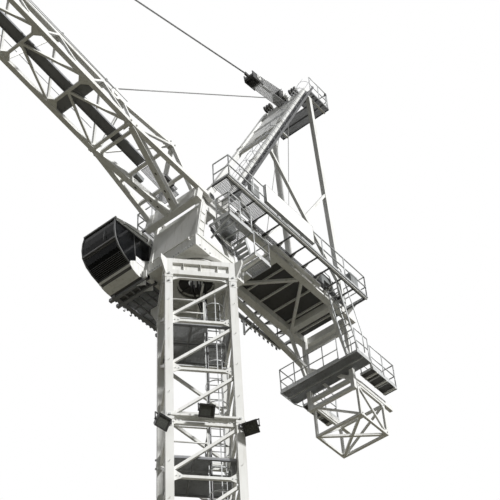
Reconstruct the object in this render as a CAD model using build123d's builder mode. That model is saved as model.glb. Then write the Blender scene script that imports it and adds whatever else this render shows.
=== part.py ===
"""Luffing-jib tower crane: turned lattice mast, slewing upper works, A-frame, jib and hook."""
import os
from math import cos, radians, sin

from build123d import *

os.makedirs("parts", exist_ok=True)

# Frame: +X is where the jib points, +Y its left side, Z up from the ground on the slewing axis.
# All lengths are in millimetres and all angles in degrees.

clearance = 0.3
grating = 40.0
rail_height = 1100.0
rail_bar = 45.0
rope = 26.0

# Mast
mast_turn = 48.5
mast_width = 2300.0
leg_size = 240.0
bay_height = 1973.0
bays_per_section = 3
mast_sections = 2
brace_size = 90.0
foot_height = 212.0
foot_plate = 620.0
foot_plate_height = 60.0
tie_width = 220.0
tie_height = 180.0
anchor_circle = 3600.0
anchor_hole = 33.0

# Slewing support and ring
support_height = 690.0
support_beam = 190.0
support_plate = 60.0
web_plate = 60.0
haunch_reach = 420.0
haunch_plate = 60.0
ring_height = 310.0
ring_outer = 950.0
ring_bore = 620.0

# Turret
turret_base_height = 500.0
turret_front = 1200.0
turret_rear = 1250.0
turret_half_width = 1050.0
turret_bore = 560.0
spigot_depth = 220.0
side_plate = 120.0
side_margin = 300.0
side_post = 320.0
post_foot = -550.0
post_head = 60.0
front_plate = 60.0
high_floor_rise = 930.0
high_floor_front = 500.0
high_floor_rear = -720.0
high_floor_edge = 1950.0
low_floor_rise = 160.0
low_floor_front = -900.0
low_floor_rear = -1750.0
low_floor_edge = 1850.0

# Jib pivot
pivot_x = 550.0
pivot_rise = 2200.0
pivot_lug = 220.0
pivot_lug_rise = 130.0
pivot_pin_radius = 70.0
pin_head_radius = 110.0
pin_head = 40.0
luff_angle = 10.5

# Counter-jib
girder_rise = 2250.0
girder_depth = 300.0
girder_width = 260.0
girder_half_gauge = 1050.0
girder_front = 100.0
girder_rear = -7900.0
cross_width = 260.0
cross_front_x = -3300.0
cross_middle_x = -6650.0
bay_strut = 110.0
deck_thickness = 60.0
deck_half_width = 2130.0
deck_front = 650.0
deck_rear = -7450.0
joist = 90.0
deck_bays = 11
walk_width = 180.0
front_floor = 2250.0
board_front = -1300.0
board_rear = -4050.0
board_height = 900.0
board_depth = 120.0
board_lift = 150.0

# Machinery
luffing_drum_x = -4150.0
luffing_drum_radius = 300.0
luffing_drum_length = 900.0
hoist_drum_x = -5600.0
hoist_drum_radius = 360.0
hoist_drum_length = 1150.0
drum_flange = 90.0
drum_lift = 140.0
bearing_plate = 60.0
cabinet_rear = -7250.0
cabinet_front = -6500.0
cabinet_half_width = 800.0
cabinet_height = 1500.0

# A-frame
front_foot_x = -300.0
head_x = -6550.0
head_rise = 12900.0
leg_half_gauge = 1050.0
front_leg = 230.0
rear_foot_x = -7400.0
rear_head_x = -6830.0
rear_head_rise = 12780.0
rear_leg = 190.0
head_beam = 220.0
sheave_radius = 330.0
sheave_width = 60.0
sheave_pitch = 110.0
axle_radius = 60.0
head_plate = 40.0
head_plate_y = 260.0
head_platform_floor = 28880.0

# Rear frame and counterweight frame
hanger_x = -7500.0
column = 160.0
column_foot = 12450.0
bracket_width = 140.0
bracket_depth = 200.0
bracket_rear = -9900.0
hub_level = 14460.0
strut_front = -1000.0
shelf = 13330.0
shelf_front = -6750.0
shelf_rear = -7620.0
shelf_half_width = 1740.0
wing_front = -7900.0
wing_rear = -9460.0
wing_inner = 1050.0
wing_outer = 1600.0
wing_bar = 60.0
basket_front = -7720.0
basket_rear = -9320.0
basket_top = 12820.0
basket_bottom = 11400.0
basket_half_width = 960.0
basket_bar = 90.0

# Cab
cab_inner = -1300.0
cab_outer = -2850.0
cab_wall = 50.0
cab_rear = 700.0
cab_front = 2550.0
cab_floor = 13050.0
cab_roof = 14950.0
cab_crown = 300.0
cab_platform_rear = -900.0
cab_platform_outer = -2600.0

# Jib
jib_foot_length = 3660.0
jib_bay = 2190.0
bays_per_jib_section = 3
jib_sections = 2
jib_head_length = 2100.0
foot_gap = 45.0
foot_beam_along = 470.0
foot_beam_depth = 660.0
foot_beam_width = 240.0
jib_half_width = 840.0
chord_size = 170.0
chord_offset = 250.0
chord_height = 2300.0
hump_offset = 3050.0
hump_station = 1160.0
jib_brace = 80.0
tip_half_width = 260.0

# Hoist
head_sheave_radius = 250.0
head_sheave_width = 90.0
head_sheave_back = 330.0
head_sheave_drop = 120.0
fall_length = 3200.0
luffing_block_x = -4310.0
luffing_block_z = 28390.0
luffing_line_start_x = -3660.0
luffing_line_start_z = 28280.0
luffing_line_radius = 35.0
hoist_start_x = -4860.0
hoist_start_z = 27560.0
rope_side = 190.0
rope_sheave_along = 4200.0
rope_sheave_radius = 220.0

# Lamps of the mast
lamp_level = 5780.0
lamp_middle_level = 6300.0
lamp_reach = 260.0
lamp_size = 520.0

# Levels and lengths worked out from the sizes above
section_height = bay_height * bays_per_section
mast_top = foot_height + section_height * mast_sections
support_top = mast_top + support_height
turret_bottom = support_top + ring_height
turret_top = turret_bottom + turret_base_height
pivot_z = turret_top + pivot_rise
girder_bottom = turret_top + girder_rise
girder_top = girder_bottom + girder_depth
deck_top = girder_top + deck_thickness
walk_top = girder_top + joist
head_z = girder_top + head_rise
leg_centre = (mast_width - leg_size) / 2
cheek_inner = turret_half_width - side_plate
foot_half_width = turret_half_width + foot_gap + chord_size / 2
girder_inner = girder_half_gauge - girder_width / 2
girder_outer = girder_half_gauge + girder_width / 2
top_offset = chord_offset + chord_height
jib_end = jib_foot_length + jib_bay * bays_per_jib_section * jib_sections
tip = jib_end + jib_head_length


def turned(x, y, z):
    """A point of the mast, given square to the mast's own faces."""
    a = radians(mast_turn)
    return Vector(x * cos(a) - y * sin(a), x * sin(a) + y * cos(a), z)


def on_jib(along, offset, side=0.0):
    """A point of the jib: along it from the pivot, square to it, and to its left."""
    a = radians(luff_angle)
    return Vector(
        pivot_x + along * cos(a) - offset * sin(a), side, pivot_z + along * sin(a) + offset * cos(a)
    )


jib_along = on_jib(1, 0) - on_jib(0, 0)
jib_up = on_jib(0, 1) - on_jib(0, 0)
forward = Vector(1, 0, 0)
upward = Vector(0, 0, 1)
front_foot = Vector(front_foot_x, 0, girder_top)
front_head = Vector(head_x, 0, head_z)
rear_foot = Vector(rear_foot_x, 0, girder_top)
rear_head = Vector(rear_head_x, 0, girder_top + rear_head_rise)
head_axle = front_head + Vector(330, 0, -60)


def on_front_leg(share, side):
    """A point of a front A-frame leg, share 0 at its foot and 1 at its head."""
    return front_foot + (front_head - front_foot) * share + Vector(0, side * leg_half_gauge, 0)


def on_rear_leg(share, side):
    """A point of a rear A-frame leg, share 0 at its foot and 1 at its head."""
    return rear_foot + (rear_head - rear_foot) * share + Vector(0, side * leg_half_gauge, 0)


def bar(start, end, width, depth=None, across=(0, 1, 0)):
    """A straight rectangular bar between two points, its width laid along across."""
    start, end, across = Vector(start), Vector(end), Vector(across)
    along = (end - start).normalized()
    side = across - along * across.dot(along)
    with BuildSketch(Plane(origin=start, x_dir=side, z_dir=along)) as section:
        Rectangle(width, depth or width)
    return extrude(section.sketch, amount=(end - start).length, mode=Mode.PRIVATE)


def rod(start, end, radius, sides=8):
    """A straight round member, as a prism of few sides."""
    start, end = Vector(start), Vector(end)
    with BuildSketch(Plane(origin=start, z_dir=end - start)) as section:
        RegularPolygon(radius, sides)
    return extrude(section.sketch, amount=(end - start).length, mode=Mode.PRIVATE)


def crosswise(x, z, radius, length, y=0.0, sides=16):
    """A member of many sides that lies across the crane, centred on y."""
    return rod((x, y + length / 2, z), (x, y - length / 2, z), radius, sides)


def pin_across(x, z, radius, length, y=0.0):
    """A round pin that lies across the crane, centred on y."""
    with BuildSketch(Plane(origin=(x, y, z), z_dir=(0, -1, 0))) as section:
        Circle(radius)
    return extrude(section.sketch, amount=length / 2, both=True, mode=Mode.PRIVATE)


def block(first, second):
    """A box between two opposite corners."""
    first, second = Vector(first), Vector(second)
    size = second - first
    with BuildPart(Plane(origin=(first + second) * 0.5)) as made:
        Box(abs(size.X), abs(size.Y), abs(size.Z))
    return made.part


def railing(points, floor, height=rail_height):
    """Posts, a top rail and a knee rail along a line of points given as (x, y)."""
    pieces = []
    longest_gap = 1300.0
    for first, second in zip(points, points[1:]):
        a, b = Vector(*first, 0), Vector(*second, 0)
        run = b - a
        count = max(1, round(run.length / longest_gap))
        for level in (height / 2, height - rail_bar / 2):
            lift = upward * (floor + level)
            pieces.append(bar(a + lift, b + lift, rail_bar, across=upward))
        for step in range(count + 1):
            foot = a + run * (step / count) + upward * floor
            pieces.append(bar(foot, foot + upward * height, rail_bar, across=run))
    return pieces


def save(label, made):
    """Label a finished piece and write its file."""
    made.part.label = label
    export_step(made.part, f"parts/{label}.step")


corner_signs = ((1, 1), (1, -1), (-1, 1), (-1, -1))

# Mast base: a stool and an anchor plate under each leg, tied by two crossing beams
with BuildPart() as mast_base:
    for sx, sy in ((1, 1), (1, -1)):
        low = turned(sx * leg_centre, sy * leg_centre, tie_height / 2)
        high = turned(-sx * leg_centre, -sy * leg_centre, tie_height / 2)
        add(bar(low, high, tie_width, tie_height, across=upward.cross(high - low)))
    for sx, sy in corner_signs:
        centre = turned(sx * leg_centre, sy * leg_centre, 0)
        seat = Plane(origin=centre, x_dir=turned(1, 0, 0))
        with BuildSketch(seat):
            Rectangle(foot_plate, foot_plate)
        extrude(amount=foot_plate_height)
        with BuildSketch(seat.offset(foot_plate_height)):
            Rectangle(leg_size * 1.3, leg_size * 1.3)
        with BuildSketch(seat.offset(foot_height)):
            Rectangle(leg_size, leg_size)
        loft()
    with Locations(Location((0, 0, foot_plate_height), (0, 0, mast_turn + 45))):
        with PolarLocations(anchor_circle / 2, 4):
            Hole(anchor_hole)
save("mast_base", mast_base)


def face_braces(ends, normal):
    """Horizontals and diagonals of one mast face; ends gives a point of each leg at a level."""
    pieces = []
    for section in range(mast_sections):
        base = foot_height + section * section_height
        for bay in range(bays_per_section):
            low = base + bay * bay_height
            high = low + bay_height
            level = low + brace_size * (1.5 if bay == 0 else 0.5)
            pieces.append(bar(ends(-1, level), ends(1, level), brace_size, across=normal))
            pieces.append(bar(ends(-1, low + brace_size * 2), ends(1, high - brace_size),
                              brace_size, across=normal))
        level = base + section_height - brace_size / 2
        pieces.append(bar(ends(-1, level), ends(1, level), brace_size, across=normal))
    return pieces


legged = []
for side, hand in ((1, "left"), (-1, "right")):
    normal = turned(0, side, 0)
    y = side * leg_centre
    with BuildPart() as face:
        add([bar(turned(end * leg_centre, y, foot_height), turned(end * leg_centre, y, mast_top),
                 leg_size, across=normal) for end in (-1, 1)])
        add(face_braces(lambda end, z: turned(end * y, y, z), normal))
    save(f"mast_{hand}_side", face)
    legged.append(face.part)
for side, hand in ((-1, "rear"), (1, "front")):
    x = side * leg_centre
    with BuildPart() as bracing:
        add(face_braces(lambda end, z: turned(x, end * x, z), turned(side, 0, 0)))
        add(legged, mode=Mode.SUBTRACT)
    save(f"mast_{hand}_bracing", bracing)

# Slewing support: posts between two ring beams, a top plate with a round hole, and corner haunches
with BuildPart() as slewing_support:
    beams = []
    reach = mast_width / 2
    for level in (mast_top + support_beam / 2, support_top - support_beam / 2):
        for side in (1, -1):
            beams.append(bar(
                turned(side * leg_centre, -reach, level), turned(side * leg_centre, reach, level),
                leg_size, support_beam, across=turned(1, 0, 0)))
            beams.append(bar(
                turned(-reach, side * leg_centre, level), turned(reach, side * leg_centre, level),
                leg_size, support_beam, across=turned(0, 1, 0)))
    level = (mast_top + support_top) / 2
    for side in (1, -1):
        beams.append(bar(turned(side * leg_centre, -reach, level), turned(side * leg_centre, reach, level),
                         web_plate, support_height, across=turned(1, 0, 0)))
        beams.append(bar(turned(-reach, side * leg_centre, level), turned(reach, side * leg_centre, level),
                         web_plate, support_height, across=turned(0, 1, 0)))
    for sx, sy in corner_signs:
        beams.append(bar(
            turned(sx * leg_centre, sy * leg_centre, mast_top),
            turned(sx * leg_centre, sy * leg_centre, support_top), leg_size, across=turned(1, 0, 0)))
    add(beams)
    with BuildSketch(Plane(origin=(0, 0, support_top - support_plate), x_dir=turned(1, 0, 0))):
        Rectangle(mast_width, mast_width)
        Circle(ring_bore, mode=Mode.SUBTRACT)
    extrude(amount=support_plate)
    corner = leg_centre * 2 ** 0.5
    for sx, sy in corner_signs:
        radial = turned(sx, sy, 0).normalized()
        with BuildSketch(Plane(origin=(0, 0, 0), x_dir=radial, z_dir=radial.cross(upward))):
            with BuildLine():
                Polyline(
                    (corner, mast_top), (corner + leg_size * 0.75, mast_top),
                    (corner + haunch_reach, support_top - support_beam),
                    (corner + haunch_reach, support_top), (corner, support_top), close=True)
            make_face()
        extrude(amount=haunch_plate / 2, both=True)
save("slewing_support", slewing_support)

with BuildPart() as slewing_ring:
    with BuildSketch(Plane.XY.offset(support_top)):
        Circle(ring_outer)
        Circle(ring_bore, mode=Mode.SUBTRACT)
    extrude(amount=ring_height - clearance)
save("slewing_ring", slewing_ring)

# Turret: a box over the ring, two open side plates that carry the jib pivot, and a front plate
with BuildPart() as turret_base:
    with BuildSketch(Plane.XY.offset(turret_bottom)):
        with Locations(((turret_front - turret_rear) / 2, 0)):
            Rectangle(turret_front + turret_rear, turret_half_width * 2)
    extrude(amount=turret_base_height)
    with BuildSketch(Plane.XY.offset(turret_bottom)):
        Circle(ring_bore - clearance)
    extrude(amount=-spigot_depth)
    with BuildSketch(Plane.XY.offset(turret_bottom - spigot_depth)):
        Circle(turret_bore)
    extrude(amount=spigot_depth + turret_base_height, mode=Mode.SUBTRACT)
save("turret_base", turret_base)

# Each side plate is a slanted front post and a slanted rear post that meet under the pivot
for side, hand in ((1, "left"), (-1, "right")):
    inner_face = cheek_inner if side > 0 else -turret_half_width
    with BuildPart() as cheek:
        with BuildSketch(Plane.XZ.offset(-inner_face)):
            with BuildLine():
                Polyline(
                    (turret_front - 50, turret_top), (pivot_x + pivot_lug, pivot_z + pivot_lug_rise),
                    (pivot_x - pivot_lug, pivot_z + pivot_lug_rise), (girder_front + 50, girder_bottom),
                    (post_head - side_post, girder_bottom), (post_foot - side_post, turret_top), close=True)
            make_face()
            with BuildLine():
                Polyline(
                    (turret_front - 50 - side_margin, turret_top + side_margin / 2),
                    (pivot_x + 60, girder_bottom - 2 * side_margin),
                    (post_head + 80, girder_bottom - 2 * side_margin),
                    (post_foot + 30, turret_top + side_margin / 2), close=True)
            make_face(mode=Mode.SUBTRACT)
        extrude(amount=-side_plate)
        add(pin_across(pivot_x, pivot_z, pivot_pin_radius + clearance, 3 * turret_half_width),
            mode=Mode.SUBTRACT)
    save(f"turret_{hand}_cheek", cheek)

with BuildPart() as turret_front_plate:
    add(bar(
        (turret_front - 110, 0, turret_top - front_plate), (pivot_x + 330, 0, pivot_z - 650),
        2 * cheek_inner, front_plate))
    split(bisect_by=Plane.XY.offset(turret_top), keep=Keep.TOP)
save("turret_front_plate", turret_front_plate)

# Pins that carry the jib foot outside the cheeks, with a head inside each cheek
pin_outer = foot_half_width + chord_size / 2
with BuildPart() as jib_pivot_pins:
    for side in (1, -1):
        middle = side * (cheek_inner + pin_outer) / 2
        add(pin_across(pivot_x, pivot_z, pivot_pin_radius, pin_outer - cheek_inner, middle))
        middle = side * (cheek_inner - pin_head / 2)
        add(crosswise(pivot_x, pivot_z, pin_head_radius, pin_head, middle))
save("jib_pivot_pins", jib_pivot_pins)

# Counter-jib: two girders with cross beams and bracing between them
for side, hand in ((1, "left"), (-1, "right")):
    with BuildPart() as girder:
        add(block((girder_rear, side * girder_inner, girder_bottom),
                  (girder_front, side * girder_outer, girder_top)))
    save(f"{hand}_girder", girder)

with BuildPart() as counter_jib_cross_beams:
    beams = []
    for x in (cross_front_x, cross_middle_x, girder_rear + cross_width / 2):
        beams.append(block((x - cross_width / 2, -girder_inner, girder_bottom),
                           (x + cross_width / 2, girder_inner, girder_top)))
    level = girder_bottom + bay_strut / 2
    middle = (cross_front_x + cross_middle_x) / 2
    for start, end in ((cross_front_x, middle + 300), (cross_middle_x, middle + 100)):
        beams.append(bar((start, -girder_inner, level), (end, girder_inner, level), bay_strut))
    add(beams)
    outside = girder_inner + 2 * girder_width
    for side in (1, -1):
        add(block((girder_rear, side * girder_inner, girder_bottom),
                  (girder_front, side * outside, girder_top)), mode=Mode.SUBTRACT)
save("counter_jib_cross_beams", counter_jib_cross_beams)

# A-frame: two slanted front legs with cross members, two rear legs, and side braces
with BuildPart() as a_frame_front_legs:
    pieces = []
    for side in (1, -1):
        pieces.append(bar(on_front_leg(-0.03, side), on_front_leg(1, side), front_leg))
    for share in (0.62, 0.8, 0.95):
        pieces.append(bar(on_front_leg(share, -1), on_front_leg(share, 1), 130, across=forward))
    pieces.append(bar(on_front_leg(0.62, -1), on_front_leg(0.8, 1), 90, across=forward))
    add(pieces)
    split(bisect_by=Plane.XY.offset(girder_top), keep=Keep.TOP)
save("a_frame_front_legs", a_frame_front_legs)

with BuildPart() as a_frame_rear_legs:
    add([bar(on_rear_leg(-0.02, side), on_rear_leg(1, side), rear_leg) for side in (1, -1)])
    split(bisect_by=Plane.XY.offset(girder_top), keep=Keep.TOP)
save("a_frame_rear_legs", a_frame_rear_legs)

with BuildPart() as a_frame_braces:
    pieces = []
    for side in (1, -1):
        knee = on_front_leg(0.48, side)
        foot = on_rear_leg(0.1, side)
        pieces.append(bar(knee, foot, 120))
        pieces.append(bar(knee + (foot - knee) * 0.52, on_rear_leg(0.5, side), 110))
    add(pieces)
    add([a_frame_front_legs.part, a_frame_rear_legs.part], mode=Mode.SUBTRACT)
save("a_frame_braces", a_frame_braces)

# Head of the A-frame: a beam on the legs and two plates that hold the luffing sheaves
with BuildPart() as a_frame_head:
    pieces = []
    half = leg_half_gauge + front_leg / 2
    pieces.append(block((head_x - head_beam / 2, -half, head_z - head_beam),
                        (head_x + head_beam / 2, half, head_z)))
    for side in (1, -1):
        y = side * leg_half_gauge
        pieces.append(block((rear_head_x - rear_leg / 2, y - rear_leg / 2, rear_head.Z - 260),
                            (head_x + 60, y + rear_leg / 2, rear_head.Z)))
        y = side * head_plate_y
        pieces.append(block((head_x - head_beam / 2, y, head_axle.Z - 200),
                            (head_axle.X + 220, y + side * head_plate, head_axle.Z + 200)))
    add(pieces)
    add([a_frame_front_legs.part, a_frame_rear_legs.part], mode=Mode.SUBTRACT)
save("a_frame_head", a_frame_head)

with BuildPart() as head_sheaves:
    add(crosswise(head_axle.X, head_axle.Z, axle_radius, 2 * (head_plate_y - clearance), sides=12))
    for step in (-1.5, -0.5, 0.5, 1.5):
        add(crosswise(head_axle.X, head_axle.Z, sheave_radius, sheave_width, step * sheave_pitch))
    add(a_frame_head.part, mode=Mode.SUBTRACT)
save("head_sheaves", head_sheaves)

with BuildPart() as head_platform:
    outer, rear, front = 1300, -8040, -6700
    floor = head_platform_floor
    pieces = [block((rear, -outer, floor), (-7250, outer, floor + grating)),
              block((-7250, 520, floor), (front, outer, floor + grating))]
    line = [(front - 20, outer - 25), (rear + 25, outer - 25), (rear + 25, 25 - outer), (-7275, 25 - outer)]
    pieces += railing(line, floor + grating)
    for side in (1, -1):
        y = side * leg_half_gauge
        pieces.append(bar((rear, y, floor - joist / 2), (rear_head_x, y, floor - joist / 2), joist))
    add(pieces)
    add([a_frame_front_legs.part, a_frame_rear_legs.part, a_frame_head.part], mode=Mode.SUBTRACT)
save("head_platform", head_platform)

# Machinery deck: a plated floor on the girders, with joists and side walks outside them
with BuildPart() as machinery_deck:
    pieces = [block((deck_rear, -girder_outer, girder_top),
                    (cross_front_x + cross_width / 2, girder_outer, deck_top))]
    level = girder_top + joist / 2
    floor_inner = foot_half_width + chord_size / 2 + joist
    for side in (1, -1):
        edge = side * (deck_half_width - joist / 2)
        pieces.append(bar((deck_rear, edge, level), (deck_front, edge, level), joist))
        for step in range(round(deck_bays) + 1):
            x = deck_rear + joist / 2 + step * (deck_front - deck_rear - joist) / deck_bays
            root = side * (girder_outer - 160 if x < girder_front else floor_inner)
            pieces.append(bar((x, root, level), (x, edge, level), joist, across=forward))
        edge = side * deck_half_width
        pieces.append(block((deck_rear, edge - side * walk_width, walk_top - grating),
                            (deck_front, edge, walk_top)))
        pieces.append(block((deck_front - front_floor, side * floor_inner, walk_top - grating),
                            (deck_front, edge, walk_top)))
    add(pieces)
    add([a_frame_front_legs.part, a_frame_rear_legs.part], mode=Mode.SUBTRACT)
save("machinery_deck", machinery_deck)

with BuildPart() as deck_railings:
    for side in (1, -1):
        y = side * (deck_half_width - rail_bar)
        add(railing([(deck_front - rail_bar, y), (deck_rear + rail_bar, y)], walk_top))
save("deck_railings", deck_railings)

with BuildPart() as name_board:
    inner = deck_half_width - rail_bar / 2 + clearance
    add(block((board_rear, inner, walk_top + board_lift),
              (board_front, inner + board_depth, walk_top + board_lift + board_height)))
save("name_board", name_board)


def winch(label, x, drum_radius, drum_length):
    """A flanged drum on a shaft between two bearing plates, with a motor beside it."""
    z = deck_top + drum_radius + drum_lift
    half = drum_length / 2
    with BuildPart() as made:
        add(crosswise(x, z, drum_radius, drum_length))
        add(crosswise(x, z, axle_radius, drum_length + 4 * bearing_plate, sides=12))
        for side in (1, -1):
            add(crosswise(x, z, drum_radius + drum_flange, drum_flange / 2, side * half))
            inner = side * (half + bearing_plate)
            add(block((x - drum_radius, inner, deck_top),
                      (x + drum_radius, inner + side * bearing_plate, z + 2 * axle_radius)))
        outer = half + 2 * bearing_plate
        add(crosswise(x, z, drum_radius * 0.6, 300, -outer - 150, sides=12))
    save(label, made)


winch("luffing_winch", luffing_drum_x, luffing_drum_radius, luffing_drum_length)
winch("hoist_winch", hoist_drum_x, hoist_drum_radius, hoist_drum_length)

with BuildPart() as switch_cabinet:
    add(block((cabinet_rear, -cabinet_half_width, deck_top),
              (cabinet_front, cabinet_half_width, deck_top + cabinet_height)))
save("switch_cabinet", switch_cabinet)

# Rear frame under the deck: columns, bracket beams that carry the counterweights, and ties
with BuildPart() as rear_frame:
    pieces = []
    y = basket_half_width
    bracket = basket_top + bracket_depth / 2
    tie_level = 15300
    for side in (1, -1):
        pieces.append(bar((hanger_x, side * y, column_foot), (hanger_x, side * y, girder_bottom), column))
        pieces.append(bar((hanger_x, side * y, bracket), (bracket_rear, side * y, bracket),
                          bracket_width, bracket_depth))
        pieces.append(bar((hanger_x, side * y, shelf + 300), (-6500, side * y, girder_bottom + 60), 110))
    hub = Vector(hanger_x, -y, hub_level)
    far_low = Vector(hanger_x, y, bracket)
    pieces.append(bar(hub, (strut_front, -y, girder_bottom - 300), bracket_depth, 160))
    pieces.append(bar(hub, far_low, 120, across=forward))
    pieces.append(bar(hub, (hanger_x, 0, bracket), 120, across=forward))
    for level in (column_foot + 80, bracket, tie_level):
        pieces.append(bar((hanger_x, -y, level), (hanger_x, y, level), 140, across=forward))
    add(pieces)
    split(bisect_by=Plane.XY.offset(girder_bottom), keep=Keep.BOTTOM)
save("rear_frame", rear_frame)

with BuildPart() as rear_platforms:
    floor = shelf + grating
    post = rail_bar / 2
    pieces = [block((shelf_rear, -shelf_half_width, shelf), (shelf_front, shelf_half_width, floor))]
    for side in (1, -1):
        y = side * (shelf_half_width - post)
        pieces += railing([(shelf_front - post, y), (shelf_rear + post, y)], floor)
        pieces.append(block((wing_rear, side * wing_inner, shelf), (wing_front, side * wing_outer, floor)))
        y = side * (wing_outer - post)
        pieces += railing([(wing_front - post, y), (wing_rear + post, y),
                           (wing_rear + post, side * (wing_inner + post))], floor)
        for x in (wing_front - 100, wing_rear + 160):
            pieces.append(bar((x, side * (wing_outer - 40), shelf + 10), (x, side * (wing_inner - 50), bracket),
                              wing_bar))
        pieces.append(bar((shelf_front - 100, side * (shelf_half_width - 40), shelf - 20),
                          (hanger_x, side * basket_half_width, shelf - 20), wing_bar))
    add(pieces)
    add(rear_frame.part, mode=Mode.SUBTRACT)
save("rear_platforms", rear_platforms)

with BuildPart() as rear_ladder:
    middle_y = (girder_outer + deck_half_width - walk_width) / 2
    top = Vector(shelf_front + 850, middle_y, girder_top)
    foot = Vector(shelf_front + 20, middle_y, shelf + grating)
    run = (top - foot).normalized()
    pieces = []
    for side in (1, -1):
        shift = Vector(0, side * 240, 0)
        pieces.append(bar(foot - run * 60 + shift, top + run * 40 + shift, 30, 80))
    for step in range(1, 11):
        middle = foot + (top - foot) * (step / 11)
        pieces.append(bar(middle - Vector(0, 240, 0), middle + Vector(0, 240, 0), 30, across=forward))
    add(pieces)
    split(bisect_by=Plane.XY.offset(shelf + grating), keep=Keep.TOP)
    add([rear_frame.part, machinery_deck.part, rear_platforms.part], mode=Mode.SUBTRACT)
save("rear_ladder", rear_ladder)

with BuildPart() as counterweight_frame:
    pieces = []
    y = basket_half_width
    low = basket_bottom + basket_bar / 2
    high = basket_top - basket_bar / 2
    corners = [(basket_front, y), (basket_front, -y), (basket_rear, -y), (basket_rear, y)]
    for first, second in zip(corners, corners[1:] + corners[:1]):
        for level in (low, high):
            pieces.append(bar((*first, level), (*second, level), basket_bar, across=upward))
        pieces.append(bar((*first, basket_bottom), (*first, basket_top), basket_bar))
        pieces.append(bar((*first, low), (*second, high), basket_bar * 0.8, across=upward))
    for first, second in ((0, 2), (1, 3)):
        pieces.append(bar((*corners[first], low), (*corners[second], low), basket_bar, across=upward))
    add(pieces)
save("counterweight_frame", counterweight_frame)

# Cab: a hollow shell with sloping lower front, on outrigger beams from under the turret
cab_front_foot = cab_front - 750
cab_knee = cab_floor + (cab_roof - cab_floor) * 0.15
cab_window = cab_floor + (cab_roof - cab_floor) * 0.5
cab_profile = [
    (cab_rear, cab_roof + cab_crown), (cab_rear + 600, cab_roof + cab_crown), (cab_front - 250, cab_roof + 60),
    (cab_front, cab_roof), (cab_front - 40, cab_window), (cab_front_foot, cab_knee),
    (cab_front_foot - 400, cab_floor), (cab_rear, cab_floor)]
side_window = [
    (cab_rear + 130, cab_roof - 130), (cab_front - 150, cab_roof - 130), (cab_front - 180, cab_window + 40),
    (cab_front_foot - 40, cab_knee + 150), (cab_rear + 130, cab_window + 150)]
with BuildPart() as cab_body:
    with BuildSketch(Plane.XZ.offset(-cab_inner)):
        with BuildLine():
            Polyline(*cab_profile, close=True)
        make_face()
    extrude(amount=cab_inner - cab_outer)
    with BuildSketch(Plane.XZ.offset(-cab_inner + cab_wall)):
        with BuildLine():
            Polyline(*cab_profile, close=True)
        make_face()
        offset(amount=-cab_wall, kind=Kind.INTERSECTION, mode=Mode.REPLACE)
    extrude(amount=cab_inner - cab_outer - 2 * cab_wall, mode=Mode.SUBTRACT)
    with BuildSketch(Plane.XZ.offset(-cab_inner)):
        with BuildLine():
            Polyline(*side_window, close=True)
        make_face()
    extrude(amount=cab_inner - cab_outer, mode=Mode.SUBTRACT)
    add(block((cab_front - 200, cab_inner - 130, cab_window + 60),
              (cab_front + 50, cab_outer + 130, cab_roof - 130)), mode=Mode.SUBTRACT)
save("cab_body", cab_body)

pane = 12.0
with BuildPart() as cab_glass:
    for face in (cab_inner - cab_wall / 2, cab_outer + cab_wall / 2 + pane):
        with BuildSketch(Plane.XZ.offset(-face)):
            with BuildLine():
                Polyline(*side_window, close=True)
            make_face()
        extrude(amount=pane)
    add(bar((cab_front - 50, (cab_inner + cab_outer) / 2, cab_window),
            (cab_front - 25, (cab_inner + cab_outer) / 2, cab_roof - 130),
            cab_inner - cab_outer - 260, pane))
    add(cab_body.part, mode=Mode.SUBTRACT)
save("cab_glass", cab_glass)

with BuildPart() as cab_platform:
    outrigger = 120.0
    inner = -turret_half_width - clearance
    floor = cab_floor + grating
    beam_rear = cab_platform_rear - 250
    beam_front = cab_front_foot - 650
    pieces = [block((cab_platform_rear, cab_platform_outer, cab_floor),
                    (cab_rear - clearance, inner, floor))]
    for x in (beam_rear, cab_rear + 100, beam_front):
        pieces.append(block((x, cab_outer + 60, cab_floor - outrigger),
                            (x + outrigger, inner, cab_floor)))
    pieces.append(block((beam_rear, cab_platform_outer, cab_floor - outrigger),
                        (beam_front + outrigger, cab_platform_outer + outrigger, cab_floor)))
    pieces.append(block((cab_platform_rear, inner, cab_floor - outrigger),
                        (beam_front + outrigger, inner - outrigger, turret_bottom + 200)))
    y = cab_platform_outer + 25
    pieces += railing([(cab_rear - 40, y), (cab_platform_rear + 25, y),
                       (cab_platform_rear + 25, inner - 60)], floor)
    add(pieces)
    add([turret_base.part, cab_body.part, cab_glass.part], mode=Mode.SUBTRACT)
save("cab_platform", cab_platform)

with BuildPart() as turret_platforms:
    high = turret_top + high_floor_rise
    low = turret_top + low_floor_rise
    post = rail_bar / 2
    outer = high_floor_edge - post
    front = high_floor_front - post
    pieces = [block((high_floor_rear, turret_half_width, high),
                    (high_floor_front, high_floor_edge, high + grating)),
              bar((high_floor_rear - 30, turret_half_width + joist / 2, high - joist / 2),
                  (high_floor_front - 20, turret_half_width + joist / 2, high - joist / 2), joist),
              block((low_floor_rear, turret_half_width, low), (low_floor_front, low_floor_edge, low + grating)),
              block((-300, cab_inner + clearance, high), (650, -turret_half_width, high + grating))]
    for x in (-turret_rear + joist / 2, low_floor_front - joist):
        pieces.append(block((x, turret_half_width, turret_top - joist), (x + joist, low_floor_edge, low)))
    pieces += railing([(front, foot_half_width + 200), (front, outer), (high_floor_rear + post, outer)],
                      high + grating)
    outer = low_floor_edge - post
    pieces += railing([(low_floor_front - post, outer), (low_floor_rear + post, outer)], low + grating)
    add(pieces)
save("turret_platforms", turret_platforms)

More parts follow.
